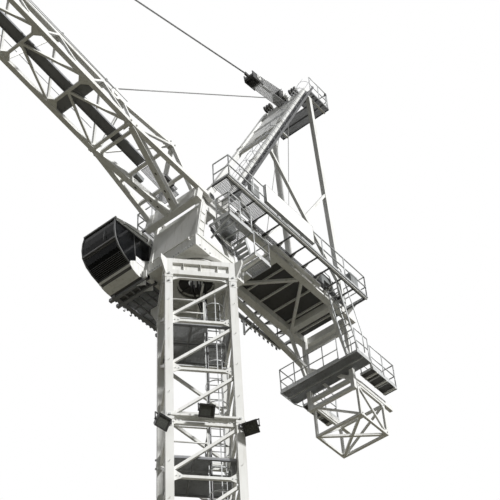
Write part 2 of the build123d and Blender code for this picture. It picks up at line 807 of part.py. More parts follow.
# Jib foot: outer chords to the pivot lugs, inner box members, and two legs up to the hump
with BuildPart() as jib_foot_section:
    pieces = []
    node_along = jib_foot_length - 60
    beam_level = chord_size / 2 - foot_beam_depth / 2
    hump = on_jib(hump_station, hump_offset)
    for side in (1, -1):
        foot = on_jib(0, 0, side * foot_half_width)
        node = on_jib(jib_foot_length, chord_offset, side * jib_half_width)
        pieces.append(bar(foot, node, chord_size))
        pieces.append(bar(on_jib(foot_beam_along, beam_level * 1.7, side * 160),
                          on_jib(node_along, chord_offset, side * (jib_half_width - 30)), 200, 280))
        pieces.append(bar(on_jib(foot_beam_along, 0, side * jib_half_width), hump, 130))
        pieces.append(bar(node - jib_along * 90, hump, 90))
        pieces.append(bar(node - jib_along * 90, on_jib(jib_foot_length - 30, top_offset), 90))
        face = on_jib(0, 0, side * foot_half_width)
        pieces.append(crosswise(face.X, face.Z, 165, chord_size, face.Y, sides=16))
    pieces.append(bar(on_jib(foot_beam_along, beam_level, -foot_half_width),
                      on_jib(foot_beam_along, beam_level, foot_half_width),
                      foot_beam_width, foot_beam_depth, across=jib_along))
    for share in (0.33, 0.62, 0.95):
        along = jib_foot_length * share
        level = chord_offset * share
        half = foot_half_width + (jib_half_width - foot_half_width) * share
        pieces.append(bar(on_jib(along, level, -half), on_jib(along, level, half), 110, across=jib_along))
    pieces.append(bar(on_jib(hump_station - 120, hump_offset + 20),
                      on_jib(jib_foot_length, top_offset), chord_size * 0.8))
    add(pieces)
    split(bisect_by=Plane(origin=on_jib(jib_foot_length, 0), z_dir=jib_along), keep=Keep.BOTTOM)
    add(pin_across(pivot_x, pivot_z, pivot_pin_radius + clearance, 3 * turret_half_width),
        mode=Mode.SUBTRACT)
save("jib_foot_section", jib_foot_section)


# Jib lattice: flat bottom with cross struts and K bracing, top chord, and two sloping sides
strut_size = jib_brace * 1.3
with BuildPart() as jib_bottom:
    pieces = []
    for side in (1, -1):
        pieces.append(bar(on_jib(jib_foot_length, chord_offset, side * jib_half_width),
                          on_jib(jib_end, chord_offset, side * jib_half_width), chord_size))
    for section in range(jib_sections):
        start = jib_foot_length + section * jib_bay * bays_per_jib_section
        stations = [start + jib_bay * bay for bay in range(bays_per_jib_section + 1)]
        stations[0] += strut_size
        stations[-1] -= strut_size
        for along in stations:
            pieces.append(bar(on_jib(along, chord_offset, -jib_half_width),
                              on_jib(along, chord_offset, jib_half_width), strut_size, across=jib_along))
        for near, far in zip(stations, stations[1:]):
            for side in (1, -1):
                pieces.append(bar(on_jib(near + 60, chord_offset, side * (jib_half_width - 20)),
                                  on_jib(far, chord_offset, 0), jib_brace))
    add(pieces)
save("jib_bottom", jib_bottom)

with BuildPart() as jib_top_chord:
    add(bar(on_jib(jib_foot_length, top_offset), on_jib(jib_end, top_offset), chord_size))
save("jib_top_chord", jib_top_chord)

sloping = []
for side, hand in ((1, "left"), (-1, "right")):
    with BuildPart() as zigzag:
        pieces = []
        for bay in range(jib_sections * bays_per_jib_section):
            near = jib_foot_length + jib_bay * bay
            top = on_jib(near + jib_bay / 2, top_offset - 50, side * 45)
            for along in (near + 110, near + jib_bay - 110):
                pieces.append(bar(on_jib(along, chord_offset, side * jib_half_width), top, jib_brace))
        add(pieces)
        add([jib_bottom.part, jib_top_chord.part] + sloping, mode=Mode.SUBTRACT)
    save(f"jib_{hand}_side", zigzag)
    sloping.append(zigzag.part)

# Jib head: the chords close in on two plates that hold the head sheave
hook_axis = on_jib(tip - head_sheave_back, -head_sheave_drop)
with BuildPart() as jib_head:
    pieces = []
    plate_y = tip_half_width - 50
    plate_middle = tip - head_sheave_back
    for side in (1, -1):
        pieces.append(bar(on_jib(jib_end, chord_offset, side * jib_half_width),
                          on_jib(tip - 330, chord_offset - 100, side * tip_half_width), chord_size))
        y = side * (plate_y + head_plate / 2)
        pieces.append(bar(on_jib(plate_middle, -head_sheave_drop - 150, y), on_jib(plate_middle, 700, y),
                          480, head_plate, across=jib_along))
        pieces.append(bar(on_jib(jib_end + 90, chord_offset, side * jib_half_width),
                          on_jib(jib_end + 380, top_offset - 280), 90))
        pieces.append(bar(on_jib(jib_end + 90, chord_offset, side * jib_half_width),
                          on_jib(plate_middle - 90, 560, side * plate_y), 90))
    pieces.append(bar(on_jib(jib_end, top_offset), on_jib(plate_middle, 600), 150))
    pieces.append(bar(on_jib(jib_end + 60, chord_offset, -jib_half_width),
                      on_jib(jib_end + 60, chord_offset, jib_half_width), 110, across=jib_along))
    pieces.append(bar(on_jib(plate_middle - 60, 560, -plate_y), on_jib(plate_middle - 60, 560, plate_y),
                      140, across=jib_along))
    add(pieces)
    split(bisect_by=Plane(origin=on_jib(jib_end, 0), z_dir=jib_along), keep=Keep.TOP)
save("jib_head", jib_head)

with BuildPart() as jib_head_sheave:
    add(pin_across(hook_axis.X, hook_axis.Z, head_sheave_radius, head_sheave_width))
    add(pin_across(hook_axis.X, hook_axis.Z, axle_radius, 2 * (plate_y - clearance)))
save("jib_head_sheave", jib_head_sheave)

with BuildPart() as jib_walkway:
    width = 420.0
    level = chord_offset + (chord_size + grating) / 2
    add(bar(on_jib(jib_foot_length * 0.62, level), on_jib(jib_end - 60, level), width, grating))
    add([bar(on_jib(jib_foot_length * 0.62, chord_offset + 42), on_jib(jib_end - 60, chord_offset + 42),
             60, chord_size - 84)])
    add([jib_foot_section.part, jib_bottom.part], mode=Mode.SUBTRACT)
save("jib_walkway", jib_walkway)

# Hook block on its two falls, hanging from the head sheave
hook_z = hook_axis.Z - fall_length
with BuildPart() as hook_block:
    add(crosswise(hook_axis.X, hook_z, head_sheave_radius, 2 * 45))
    for side in (1, -1):
        add(block((hook_axis.X - 160, side * 45, hook_z - 420),
                  (hook_axis.X + 160, side * 75, hook_z + 180)))
    add(block((hook_axis.X - 110, -75, hook_z - 480), (hook_axis.X + 110, 75, hook_z - 320)))
    bowl = hook_z - 760
    with BuildSketch(Plane.XZ):
        with Locations((hook_axis.X, bowl)):
            Circle(190)
        with Locations((hook_axis.X - 10, bowl + 15)):
            Circle(95, mode=Mode.SUBTRACT)
        with Locations((hook_axis.X - 150, bowl + 110)):
            Rectangle(240, 180, mode=Mode.SUBTRACT)
        with Locations((hook_axis.X + 25, bowl + 215)):
            Rectangle(110, 180)
    extrude(amount=40, both=True)
save("hook_block", hook_block)

with BuildPart() as hook_falls:
    reach = head_sheave_radius + rope / 2 + clearance
    for side in (1, -1):
        x = hook_axis.X + side * reach
        add(rod((x, 0, hook_z), (x, 0, hook_axis.Z), rope / 2, 6))
    add(hook_block.part, mode=Mode.SUBTRACT)
save("hook_falls", hook_falls)

# Luffing block, its rope falls to the head of the A-frame, and the line out to the jib
block_axle = Vector(luffing_block_x, 0, luffing_block_z)
line_start = Vector(luffing_line_start_x, 0, luffing_line_start_z)
block_radius = 240.0
with BuildPart() as luffing_block:
    pieces = []
    for side in (1, -1):
        shift = Vector(0, side * 230, 0)
        pieces.append(bar(line_start - forward * 240 + shift, block_axle - forward * 280 + shift,
                          head_plate, 400))
    pieces.append(bar(line_start, line_start - forward * 330, 90, 150))
    pieces.append(bar(line_start + Vector(-300, -240, 0), line_start + Vector(-300, 240, 0),
                      130, across=forward))
    for step in (-1.5, -0.5, 0.5, 1.5):
        pieces.append(crosswise(block_axle.X, block_axle.Z, block_radius, sheave_width, step * sheave_pitch))
    pieces.append(crosswise(block_axle.X, block_axle.Z, axle_radius, 460, sides=12))
    add(pieces)
save("luffing_block", luffing_block)

with BuildPart() as luffing_falls:
    run = (head_axle - block_axle).normalized()
    out = Vector(-run.Z, 0, run.X)
    for step in (-1.5, -0.5, 0.5, 1.5):
        shift = Vector(0, step * sheave_pitch, 0)
        for lift in (1, -1):
            start = block_axle + shift + out * lift * (block_radius + rope / 2 - 5)
            end = head_axle + shift + out * lift * (sheave_radius + rope / 2 - 5)
            add(rod(start, end, rope / 2, 6))
    add([luffing_block.part, a_frame_head.part, head_sheaves.part], mode=Mode.SUBTRACT)
save("luffing_falls", luffing_falls)

line_end = on_jib(jib_end + 420, top_offset - 40)
with BuildPart() as luffing_line:
    add(rod(line_start, line_end, luffing_line_radius, 6))
    add([luffing_block.part, jib_head.part, jib_top_chord.part], mode=Mode.SUBTRACT)
save("luffing_line", luffing_line)

# Hoist rope: from the A-frame to a sheave on the jib, then along the jib to its head
rope_sheave = on_jib(rope_sheave_along, top_offset - rope_sheave_radius - 100, rope_side)
with BuildPart() as jib_rope_sheave:
    for side in (1, -1):
        y = Vector(0, side * 50, 0)
        add(bar(rope_sheave - jib_up * 60 + y, rope_sheave + jib_up * 320 + y, 160, 30, across=jib_along))
    add(bar(rope_sheave + jib_up * 300 - Vector(0, 65, 0), rope_sheave + jib_up * 300 + Vector(0, 65, 0),
            160, 60, across=jib_along))
    add(crosswise(rope_sheave.X, rope_sheave.Z, rope_sheave_radius, 60, rope_side))
    add(crosswise(rope_sheave.X, rope_sheave.Z, 40, 130, rope_side, sides=12))
    add(jib_top_chord.part, mode=Mode.SUBTRACT)
save("jib_rope_sheave", jib_rope_sheave)

hoist_start = Vector(hoist_start_x, rope_side, hoist_start_z)
with BuildPart() as hoist_rope:
    lean = (rope_sheave - hoist_start).normalized()
    out = Vector(-lean.Z, 0, lean.X)
    add(rod(hoist_start, rope_sheave + out * (rope_sheave_radius + rope / 2 - 3), rope / 2, 6))
    split(bisect_by=Plane(origin=rope_sheave, z_dir=lean), keep=Keep.BOTTOM)
    add([jib_rope_sheave.part, luffing_block.part], mode=Mode.SUBTRACT)
save("hoist_rope", hoist_rope)

with BuildPart() as jib_hoist_rope:
    start = rope_sheave + jib_up * (rope_sheave_radius + rope / 2 - 3)
    over = on_jib(jib_end - 40, top_offset + 140)
    add(rod(start, over, rope / 2, 6))
    add(rod(over, on_jib(tip - head_sheave_back, 670), rope / 2, 6))
    add(bar(on_jib(jib_end - 40, top_offset), over + jib_up * 20, 40, across=jib_along))
    add([jib_rope_sheave.part, jib_top_chord.part, jib_head.part, hoist_rope.part], mode=Mode.SUBTRACT)
save("jib_hoist_rope", jib_hoist_rope)

# Ladders, landings, cable and lamps of the mast
ladder_x = 250.0
ladder_y = 480.0
hatch_middle = 480.0
hatch_length = 760.0
stile_half = 235.0
cable_x = 470.0
cable_y = 240.0
cable_radius = 35.0
landing_levels = [foot_height + bay_height * 2.43, foot_height + bay_height * 5.02]
with BuildPart() as mast_ladder:
    pieces = []
    low = 0
    high = mast_top - 300
    for side in (1, -1):
        y = ladder_y + side * stile_half
        pieces.append(bar(turned(ladder_x, y, low), turned(ladder_x, y, high), 50, across=turned(1, 0, 0)))
    rungs = 38
    for step in range(rungs):
        level = low + (high - low) * (step + 0.5) / rungs
        pieces.append(bar(turned(ladder_x, ladder_y - stile_half, level),
                          turned(ladder_x, ladder_y + stile_half, level), 30, across=turned(1, 0, 0)))
    for level in landing_levels:
        level += grating / 2
        pieces.append(bar(turned(ladder_x, ladder_y - stile_half, level),
                          turned(ladder_x, ladder_y - stile_half - 200, level), grating, across=upward))
    add(pieces)
    add(mast_base.part, mode=Mode.SUBTRACT)
save("mast_ladder", mast_ladder)

inside = mast_width - 2 * leg_size
with BuildPart() as mast_landings:
    for level in landing_levels:
        with BuildSketch(Plane(origin=(0, 0, level), x_dir=turned(1, 0, 0))):
            Rectangle(inside, inside + 140)
            with Locations((hatch_middle, ladder_y)):
                Rectangle(hatch_length, 2 * stile_half + 100, mode=Mode.SUBTRACT)
        extrude(amount=grating)
    add(mast_ladder.part, mode=Mode.SUBTRACT)
save("mast_landings", mast_landings)

with BuildPart() as power_cable:
    add(rod(turned(cable_x, cable_y, 0), turned(cable_x, cable_y, support_top - support_plate), cable_radius))
    for level in landing_levels:
        clamp = level + grating / 2
        add(bar(turned(cable_x, cable_y, clamp), turned(cable_x, cable_y - 100, clamp), grating, across=upward))
    add(mast_landings.part, mode=Mode.SUBTRACT)
save("power_cable", power_cable)

with BuildPart() as floodlights:
    out = turned(1, 0, 0)
    sideways = turned(0, 1, 0)
    for y, level in ((-mast_width / 2, lamp_level), (0, lamp_middle_level), (mast_width / 2, lamp_level)):
        foot = turned(mast_width / 2, y, level)
        lamp = foot + out * lamp_reach + sideways * y * 0.13
        if y:
            add(bar(foot - sideways * y * 0.08, lamp, 70, across=upward))
        else:
            add(bar(turned(mast_width / 2, -leg_centre, level), turned(mast_width / 2, leg_centre, level),
                    70, across=upward))
            add(bar(foot, lamp, 70, across=upward))
        half = upward * lamp_size / 2
        add(bar(lamp - half, lamp + half, lamp_size, lamp_size * 0.6, across=sideways))
    add([legged[0], legged[1], bracing.part], mode=Mode.SUBTRACT)
save("floodlights", floodlights)
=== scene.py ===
import bpy, bmesh, math
from mathutils import Vector, Matrix


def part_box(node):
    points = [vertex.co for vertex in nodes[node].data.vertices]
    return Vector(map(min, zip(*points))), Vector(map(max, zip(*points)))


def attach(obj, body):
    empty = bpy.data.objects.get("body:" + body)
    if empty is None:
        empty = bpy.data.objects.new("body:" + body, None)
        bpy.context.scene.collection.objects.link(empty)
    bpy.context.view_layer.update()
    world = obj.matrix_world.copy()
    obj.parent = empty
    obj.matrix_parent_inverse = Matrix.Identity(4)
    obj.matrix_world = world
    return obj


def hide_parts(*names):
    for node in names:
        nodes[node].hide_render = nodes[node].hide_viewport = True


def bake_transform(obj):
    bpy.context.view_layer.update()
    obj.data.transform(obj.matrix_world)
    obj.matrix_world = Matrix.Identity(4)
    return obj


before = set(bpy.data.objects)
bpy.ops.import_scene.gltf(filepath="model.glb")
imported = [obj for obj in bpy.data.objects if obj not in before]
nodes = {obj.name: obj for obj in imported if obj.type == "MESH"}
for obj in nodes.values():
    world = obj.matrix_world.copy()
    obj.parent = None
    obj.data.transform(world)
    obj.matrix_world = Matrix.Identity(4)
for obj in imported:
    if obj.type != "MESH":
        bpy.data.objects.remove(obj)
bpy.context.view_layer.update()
scene = bpy.context.scene
scene.view_settings.view_transform = "Standard"
print("crane frame loaded:", len(nodes), "pieces")

# where the photo was taken from, in the crane's own frame
cameraValues = {
    "place": (23.672, 19.777, -17.81),
    "forward": (-0.5575, -0.4113, 0.7212),
    "up": (0.5378, 0.4828, 0.6911),
    "focalPixels": 1317.0,
    "framePixels": 500.0,
}


def makeObject(name, data):
    obj = bpy.data.objects.new(name, data)
    scene.collection.objects.link(obj)
    return obj


def makeCamera(values):
    data = bpy.data.cameras.new("photoCamera")
    cam = makeObject("photoCamera", data)
    back = -Vector(values["forward"]).normalized()
    right = Vector(values["up"]).cross(back).normalized()
    turn = Matrix((right, back.cross(right), back)).transposed().to_4x4()
    cam.matrix_world = Matrix.Translation(Vector(values["place"])) @ turn
    data.sensor_width = 36.0
    data.lens = values["focalPixels"] / values["framePixels"] * 36.0
    data.clip_end = 500.0
    scene.camera = cam


makeCamera(cameraValues)

# places on the crane, in metres, as in the part's source
mastTurn = math.radians(48.5)
luffAngle = math.radians(10.5)
pivotPoint = Vector((0.55, 0, 15.75))
legCentre = 1.03
bayHeight = 1.973
footHeight = 0.212
mastTop = 12.05
supportTop = 12.74
turretBottom = 13.05
turretTop = 13.55
girderTop = 16.1
deckTop = 16.16
walkTop = 16.19
jibFoot = 3.66
jibBay = 2.19
jibEnd = 16.8
chordOffset = 0.25
topOffset = 2.55
jibHalf = 0.84
gussetSheet = 0.016


def onMast(x, y, z):
    c, s = math.cos(mastTurn), math.sin(mastTurn)
    return Vector((x * c - y * s, x * s + y * c, z))


def onJib(along, offset, side=0.0):
    c, s = math.cos(luffAngle), math.sin(luffAngle)
    return pivotPoint + Vector((along * c - offset * s, side, along * s + offset * c))


def pick(values, names):
    # several of a piece's values at once
    return [values[name] for name in names.split()]


def circle(count, radius=1):
    # (x, y) of points round the origin
    return [(radius * math.cos(a), radius * math.sin(a)) for a in (2 * math.pi * k / count for k in range(count))]


mastAhead, mastLeft = onMast(1, 0, 0), onMast(0, 1, 0)
jibAlong = onJib(1, 0) - onJib(0, 0)
jibUp = onJib(0, 1) - onJib(0, 0)
ahead, leftward, upward = Vector((1, 0, 0)), Vector((0, 1, 0)), Vector((0, 0, 1))
corners = ((1, 1), (1, -1), (-1, 1), (-1, -1))


def feed(tree, value, socket):
    # a socket takes a link from another socket, or a fixed value
    if isinstance(value, bpy.types.NodeSocket):
        tree.links.new(value, socket)
    else:
        socket.default_value = value


# shader groups
def newGroup(name, inputs, outputs):
    group = bpy.data.node_groups.new(name, "ShaderNodeTree")
    for label, start in inputs.items():
        kind = "NodeSocketColor" if isinstance(start, tuple) else "NodeSocketFloat"
        group.interface.new_socket(label, in_out="INPUT", socket_type=kind).default_value = start
    for label in outputs:
        kind = "NodeSocketColor" if label == "Color" else "NodeSocketFloat"
        group.interface.new_socket(label, in_out="OUTPUT", socket_type=kind)
    return group, group.nodes.new("NodeGroupInput"), group.nodes.new("NodeGroupOutput")


def wire(tree, pairs):
    for source, target in pairs:
        tree.links.new(source, target)


def mathNode(tree, kind, first, second=None, clamp=False):
    node = tree.nodes.new("ShaderNodeMath")
    node.operation = kind
    node.use_clamp = clamp
    feed(tree, first, node.inputs[0])
    if second is not None:
        feed(tree, second, node.inputs[1])
    return node.outputs[0]


def mixColour(tree, factor, first, second):
    node = tree.nodes.new("ShaderNodeMix")
    node.data_type = "RGBA"
    for index, value in ((0, factor), (6, first), (7, second)):
        feed(tree, value, node.inputs[index])
    return node.outputs[2]


def noiseAt(tree, vector, scale, detail=3.0):
    node = tree.nodes.new("ShaderNodeTexNoise")
    for label, value in (("Vector", vector), ("Scale", scale), ("Detail", detail)):
        feed(tree, value, node.inputs[label])
    return node.outputs["Fac"]


def spread(tree, value, low, high):
    node = tree.nodes.new("ShaderNodeMapRange")
    node.interpolation_type = "SMOOTHSTEP"
    node.inputs["From Min"].default_value = low
    node.inputs["From Max"].default_value = high
    wire(tree, [(value, node.inputs["Value"])])
    return node.outputs["Result"]


def weatheringAndShadeGroup():
    # rain streaks, cloudy grime and rust specks from Object coordinates, and painted shade: the grime colour laid on
    # faces that point down
    group, enter, leave = newGroup("weatheringAndShade", {
        "Base": (0.8, 0.8, 0.78, 1), "Grime And Shade": (0.3, 0.28, 0.22, 1), "Amount": 0.5, "Streak Scale": 9.0,
        "Cloud Scale": 0.7, "Rust": 0.2}, ("Color", "Roughness", "Height"))
    coords = group.nodes.new("ShaderNodeTexCoord")
    place = coords.outputs["Object"]
    squeeze = group.nodes.new("ShaderNodeMapping")
    squeeze.inputs["Scale"].default_value = (1, 1, 0.07)
    wire(group, [(place, squeeze.inputs["Vector"])])
    streaks = spread(group, noiseAt(group, squeeze.outputs[0], enter.outputs["Streak Scale"]), 0.5, 0.78)
    clouds = spread(group, noiseAt(group, place, enter.outputs["Cloud Scale"], 6), 0.38, 0.75)
    normal = group.nodes.new("ShaderNodeNewGeometry")
    parts = group.nodes.new("ShaderNodeSeparateXYZ")
    wire(group, [(normal.outputs["Normal"], parts.inputs[0])])
    # painted shade: faces turned down take the grime colour, the more the further they face down
    under = spread(group, mathNode(group, "MULTIPLY", parts.outputs["Z"], -1.0), 0.2, 1.0)
    dirtAndShade = mathNode(group, "ADD", mathNode(group, "MULTIPLY", streaks, 0.6), mathNode(group, "MULTIPLY", clouds, 0.5))
    dirtAndShade = mathNode(group, "ADD", dirtAndShade, mathNode(group, "MULTIPLY", under, 0.45))
    dirtAndShade = mathNode(group, "MULTIPLY", dirtAndShade, enter.outputs["Amount"], clamp=True)
    specks = spread(group, noiseAt(group, place, 14.0, 5), 0.71, 0.78)
    specks = mathNode(group, "MULTIPLY", specks, enter.outputs["Rust"], clamp=True)
    tinted = mixColour(group, dirtAndShade, enter.outputs["Base"], enter.outputs["Grime And Shade"])
    rusty = mixColour(group, specks, tinted, (0.19, 0.08, 0.035, 1))
    fine = noiseAt(group, place, 90.0, 2)
    rough = mathNode(group, "ADD", mathNode(group, "MULTIPLY", dirtAndShade, 0.35), 0.42, clamp=True)
    wire(group, [(rusty, leave.inputs["Color"]), (rough, leave.inputs["Roughness"]),
                 (mathNode(group, "ADD", fine, dirtAndShade), leave.inputs["Height"])])
    return group


def layGroup():
    # the twist of a wire rope, from its own UV map: U in turns along it, V once round
    group, enter, leave = newGroup("ropeLay", {"Strands": 6.0}, ("Height", "Groove"))
    uv = group.nodes.new("ShaderNodeUVMap")
    uv.uv_map = "lay"
    parts = group.nodes.new("ShaderNodeSeparateXYZ")
    wire(group, [(uv.outputs[0], parts.inputs[0])])
    strand = mathNode(group, "MULTIPLY", parts.outputs["Y"], enter.outputs["Strands"])
    turn = mathNode(group, "ADD", parts.outputs["X"], strand)
    wave = mathNode(group, "SINE", mathNode(group, "MULTIPLY", turn, 2 * math.pi))
    height = mathNode(group, "ABSOLUTE", wave)
    wire(group, [(height, leave.inputs["Height"]), (spread(group, height, 0.0, 0.45), leave.inputs["Groove"])])
    return group


weatheringAndShade = weatheringAndShadeGroup()
ropeLay = layGroup()


def newMaterial(name):
    mat = bpy.data.materials.new(name)
    mat.use_nodes = True
    return mat, mat.node_tree, mat.node_tree.nodes["Principled BSDF"]


def coated(name, base, grime, amount, streak=9.0, cloud=0.7, rust=0.15, metallic=0.0, bump=0.15, coat=0.0):
    mat, tree, shader = newMaterial(name)
    node = tree.nodes.new("ShaderNodeGroup")
    node.node_tree = weatheringAndShade
    for label, value in (("Base", (*base, 1)), ("Grime And Shade", (*grime, 1)), ("Amount", amount),
                         ("Streak Scale", streak), ("Cloud Scale", cloud), ("Rust", rust)):
        node.inputs[label].default_value = value
    relief = tree.nodes.new("ShaderNodeBump")
    relief.inputs["Strength"].default_value = bump
    relief.inputs["Distance"].default_value = 0.004
    wire(tree, [(node.outputs["Color"], shader.inputs["Base Color"]),
                (node.outputs["Roughness"], shader.inputs["Roughness"]),
                (node.outputs["Height"], relief.inputs["Height"]), (relief.outputs[0], shader.inputs["Normal"])])
    shader.inputs["Metallic"].default_value = metallic
    shader.inputs["Coat Weight"].default_value = coat
    return mat


# the grime colour is both dirt and the painted shade of faces turned down
paintValues = {"white": (0.86, 0.86, 0.835), "grime": (0.34, 0.32, 0.25), "amount": 0.45}
craneWhite = coated("craneWhite", paintValues["white"], paintValues["grime"], paintValues["amount"])
boardWhite = coated("boardWhite", (0.9, 0.9, 0.88), (0.5, 0.48, 0.42), 0.3, streak=5.0, coat=0.3)
zincSteel = coated("zincSteel", (0.55, 0.56, 0.56), (0.27, 0.27, 0.26), 0.6, cloud=3.0, metallic=0.3)
walkSteel = coated("walkSteel", (0.36, 0.365, 0.37), (0.18, 0.18, 0.175), 0.6, cloud=2.0, rust=0.2, metallic=0.15)
# dark grey: real galvanised steel, and painted shade on the cab walk's frame seen from below
darkZincAndShade = coated("darkZincAndShade", (0.24, 0.245, 0.26), (0.12, 0.118, 0.115), 0.6, cloud=2.0, rust=0.25, metallic=0.1)
machineGrey = coated("machineGrey", (0.23, 0.24, 0.24), (0.07, 0.065, 0.05), 0.7, cloud=1.6)
greasedSteel = coated("greasedSteel", (0.28, 0.275, 0.26), (0.05, 0.045, 0.035), 0.8, cloud=5.0, metallic=0.8)
blackRubber = coated("blackRubber", (0.022, 0.022, 0.023), (0.08, 0.075, 0.07), 0.4, rust=0.0)
lampBlack = coated("lampBlack", (0.02, 0.02, 0.02), (0.09, 0.085, 0.08), 0.45, rust=0.05)
cabFrame = coated("cabFrame", (0.07, 0.072, 0.075), (0.16, 0.15, 0.13), 0.5, rust=0.0)
cabInside = coated("cabInside", (0.16, 0.165, 0.17), (0.06, 0.06, 0.06), 0.4, rust=0.0)
seatCloth = coated("seatCloth", (0.03, 0.032, 0.04), (0.07, 0.07, 0.07), 0.5, cloud=7.0, rust=0.0, bump=0.5)
ropeSteel = coated("ropeSteel", (0.3, 0.3, 0.295), (0.1, 0.095, 0.09), 0.5, cloud=11.0, metallic=0.4)
# near-black: real plate, and painted shade on joists and edges seen from below
deckPlateAndShade = coated("deckPlateAndShade", (0.075, 0.076, 0.08), (0.05, 0.048, 0.04), 0.6, cloud=1.2, rust=0.3)
blockBlack = coated("blockBlack", (0.03, 0.03, 0.032), (0.1, 0.09, 0.07), 0.5, cloud=3.0, metallic=0.2)
hookYellow = coated("hookYellow", (0.72, 0.42, 0.04), (0.1, 0.07, 0.03), 0.6, cloud=2.5, rust=0.4)


def ropeMaterial(name, groove, strand):
    mat, tree, shader = newMaterial(name)
    node = tree.nodes.new("ShaderNodeGroup")
    node.node_tree = ropeLay
    # painted shade: the valleys between strands take the dark groove colour, the crests the strand colour
    colour = mixColour(tree, node.outputs["Groove"], (*groove, 1), (*strand, 1))
    relief = tree.nodes.new("ShaderNodeBump")
    relief.inputs["Strength"].default_value = 0.7
    relief.inputs["Distance"].default_value = 0.006
    wire(tree, [(colour, shader.inputs["Base Color"]), (node.outputs["Height"], relief.inputs["Height"]),
                (relief.outputs[0], shader.inputs["Normal"])])
    shader.inputs["Metallic"].default_value = 0.55
    shader.inputs["Roughness"].default_value = 0.5
    return mat


def glassMaterial(name, tint, roughness):
    # dark tinted pane with a dusty film
    mat, tree, shader = newMaterial(name)
    coords = tree.nodes.new("ShaderNodeTexCoord")
    film = spread(tree, noiseAt(tree, coords.outputs["Object"], 2.2, 5), 0.45, 0.8)
    colour = mixColour(tree, film, (*tint, 1), tuple(min(1, c * 1.6 + 0.03) for c in tint) + (1,))
    rough = mathNode(tree, "ADD", mathNode(tree, "MULTIPLY", film, 0.18), roughness)
    wire(tree, [(colour, shader.inputs["Base Color"]), (rough, shader.inputs["Roughness"])])
    shader.inputs["Transmission Weight"].default_value = 0.75
    shader.inputs["IOR"].default_value = 1.2
    return mat


wireRope = ropeMaterial("wireRope", (0.05, 0.048, 0.045), (0.27, 0.27, 0.265))
ropeLight = ropeMaterial("ropeLight", (0.16, 0.16, 0.155), (0.5, 0.5, 0.49))
smokedGlass = glassMaterial("smokedGlass", (0.018, 0.02, 0.024), 0.05)
lampGlass = glassMaterial("lampGlass", (0.35, 0.36, 0.33), 0.12)
print("materials ready")


# shaping helpers; mat is the material of what is drawn, and the piece's own where none is given
palette = []


def slotOf(mat):
    # a material's number while a piece is drawn; finishPiece turns it into a slot
    if mat and mat not in palette:
        palette.append(mat)
    return palette.index(mat) + 1 if mat else 0


def bridge(bm, low, high, mat=None, smooth=False):
    # a closed band of quads between two loops
    faces = []
    for k in range(len(low)):
        n = (k + 1) % len(low)
        faces.append(bm.faces.new((low[k], low[n], high[n], high[k])))
        faces[k].material_index = slotOf(mat)
        faces[k].smooth = smooth
    return faces


def addBar(bm, start, end, width, depth=None, across=leftward, mat=None):
    start, end = Vector(start), Vector(end)
    along = (end - start).normalized()
    side = Vector(across)
    side = (side - along * side.dot(along)).normalized() * (width / 2)
    lift = along.cross(side).normalized() * ((depth or width) / 2)
    low, high = ([bm.verts.new(p + side * a + lift * b) for a, b in ((-1, -1), (1, -1), (1, 1), (-1, 1))]
                 for p in (start, end))
    for cap in (low[::-1], high):
        bm.faces.new(cap).material_index = slotOf(mat)
    bridge(bm, low, high, mat)


def addBox(bm, low, high, mat=None):
    low, high = Vector(low), Vector(high)
    middle, size = (low + high) / 2, high - low
    addBar(bm, (low.x, *middle.yz), (high.x, *middle.yz), abs(size.y), abs(size.z), leftward, mat)


def addTube(bm, points, radius, sides=8, mat=None, layPitch=None):
    # a round bar through points, mitred at its corners; layPitch adds the UV map of a rope
    points = [Vector(p) for p in points]
    runs = [(b - a).normalized() for a, b in zip(points, points[1:])]
    side = runs[0].orthogonal().normalized()
    rings, gone = [], 0.0
    lay = bm.loops.layers.uv.get("lay") or bm.loops.layers.uv.new("lay") if layPitch else None
    for index, point in enumerate(points):
        after = runs[min(index, len(runs) - 1)]
        axis = (runs[max(index - 1, 0)] + after).normalized()
        side = (side - axis * side.dot(axis)).normalized()
        up = axis.cross(side)
        stretch = 1.0 / max(0.5, axis.dot(after)) if 0 < index < len(points) - 1 else 1.0
        rings.append([bm.verts.new(point + (side * c + up * s) * radius * stretch) for c, s in circle(sides)])
    for index, (low, high) in enumerate(zip(rings, rings[1:])):
        step = (points[index + 1] - points[index]).length
        for k, face in enumerate(bridge(bm, low, high, mat, True)):
            spots = ((gone, k), (gone, k + 1), (gone + step, k + 1), (gone + step, k))
            for loop, (u, v) in zip(face.loops, spots if lay else ()):
                loop[lay].uv = (u / layPitch, v / sides)
        gone += step
    for cap in (rings[0][::-1], rings[-1]):
        bm.faces.new(cap).material_index = slotOf(mat)


def addPlate(bm, outline, thickness, mat=None):
    # a flat plate: its outline of points in one plane, grown both ways to its thickness
    outline = [Vector(p) for p in outline]
    normal = Vector((0, 0, 0))
    for a, b in zip(outline, outline[1:] + outline[:1]):
        normal += (a - outline[0]).cross(b - outline[0])
    normal = normal.normalized() * (thickness / 2)
    low, high = ([bm.verts.new(p + normal * way) for p in outline] for way in (-1, 1))
    for cap in (low[::-1], high):
        bm.faces.new(cap).material_index = slotOf(mat)
    bridge(bm, low, high, mat)


def addRing(bm, centre, axis, outer, inner, thickness, sides=24, mat=None):
    # a round plate with a round hole
    centre, axis = Vector(centre), Vector(axis).normalized()
    side = axis.orthogonal().normalized()
    up = axis.cross(side)
    loops = [[bm.verts.new(centre + axis * lift * thickness / 2 + (side * c + up * s) * radius)
              for c, s in circle(sides)] for radius, lift in ((outer, -1), (outer, 1), (inner, 1), (inner, -1))]
    for low, high in zip(loops, loops[1:] + loops[:1]):
        bridge(bm, low, high, mat)


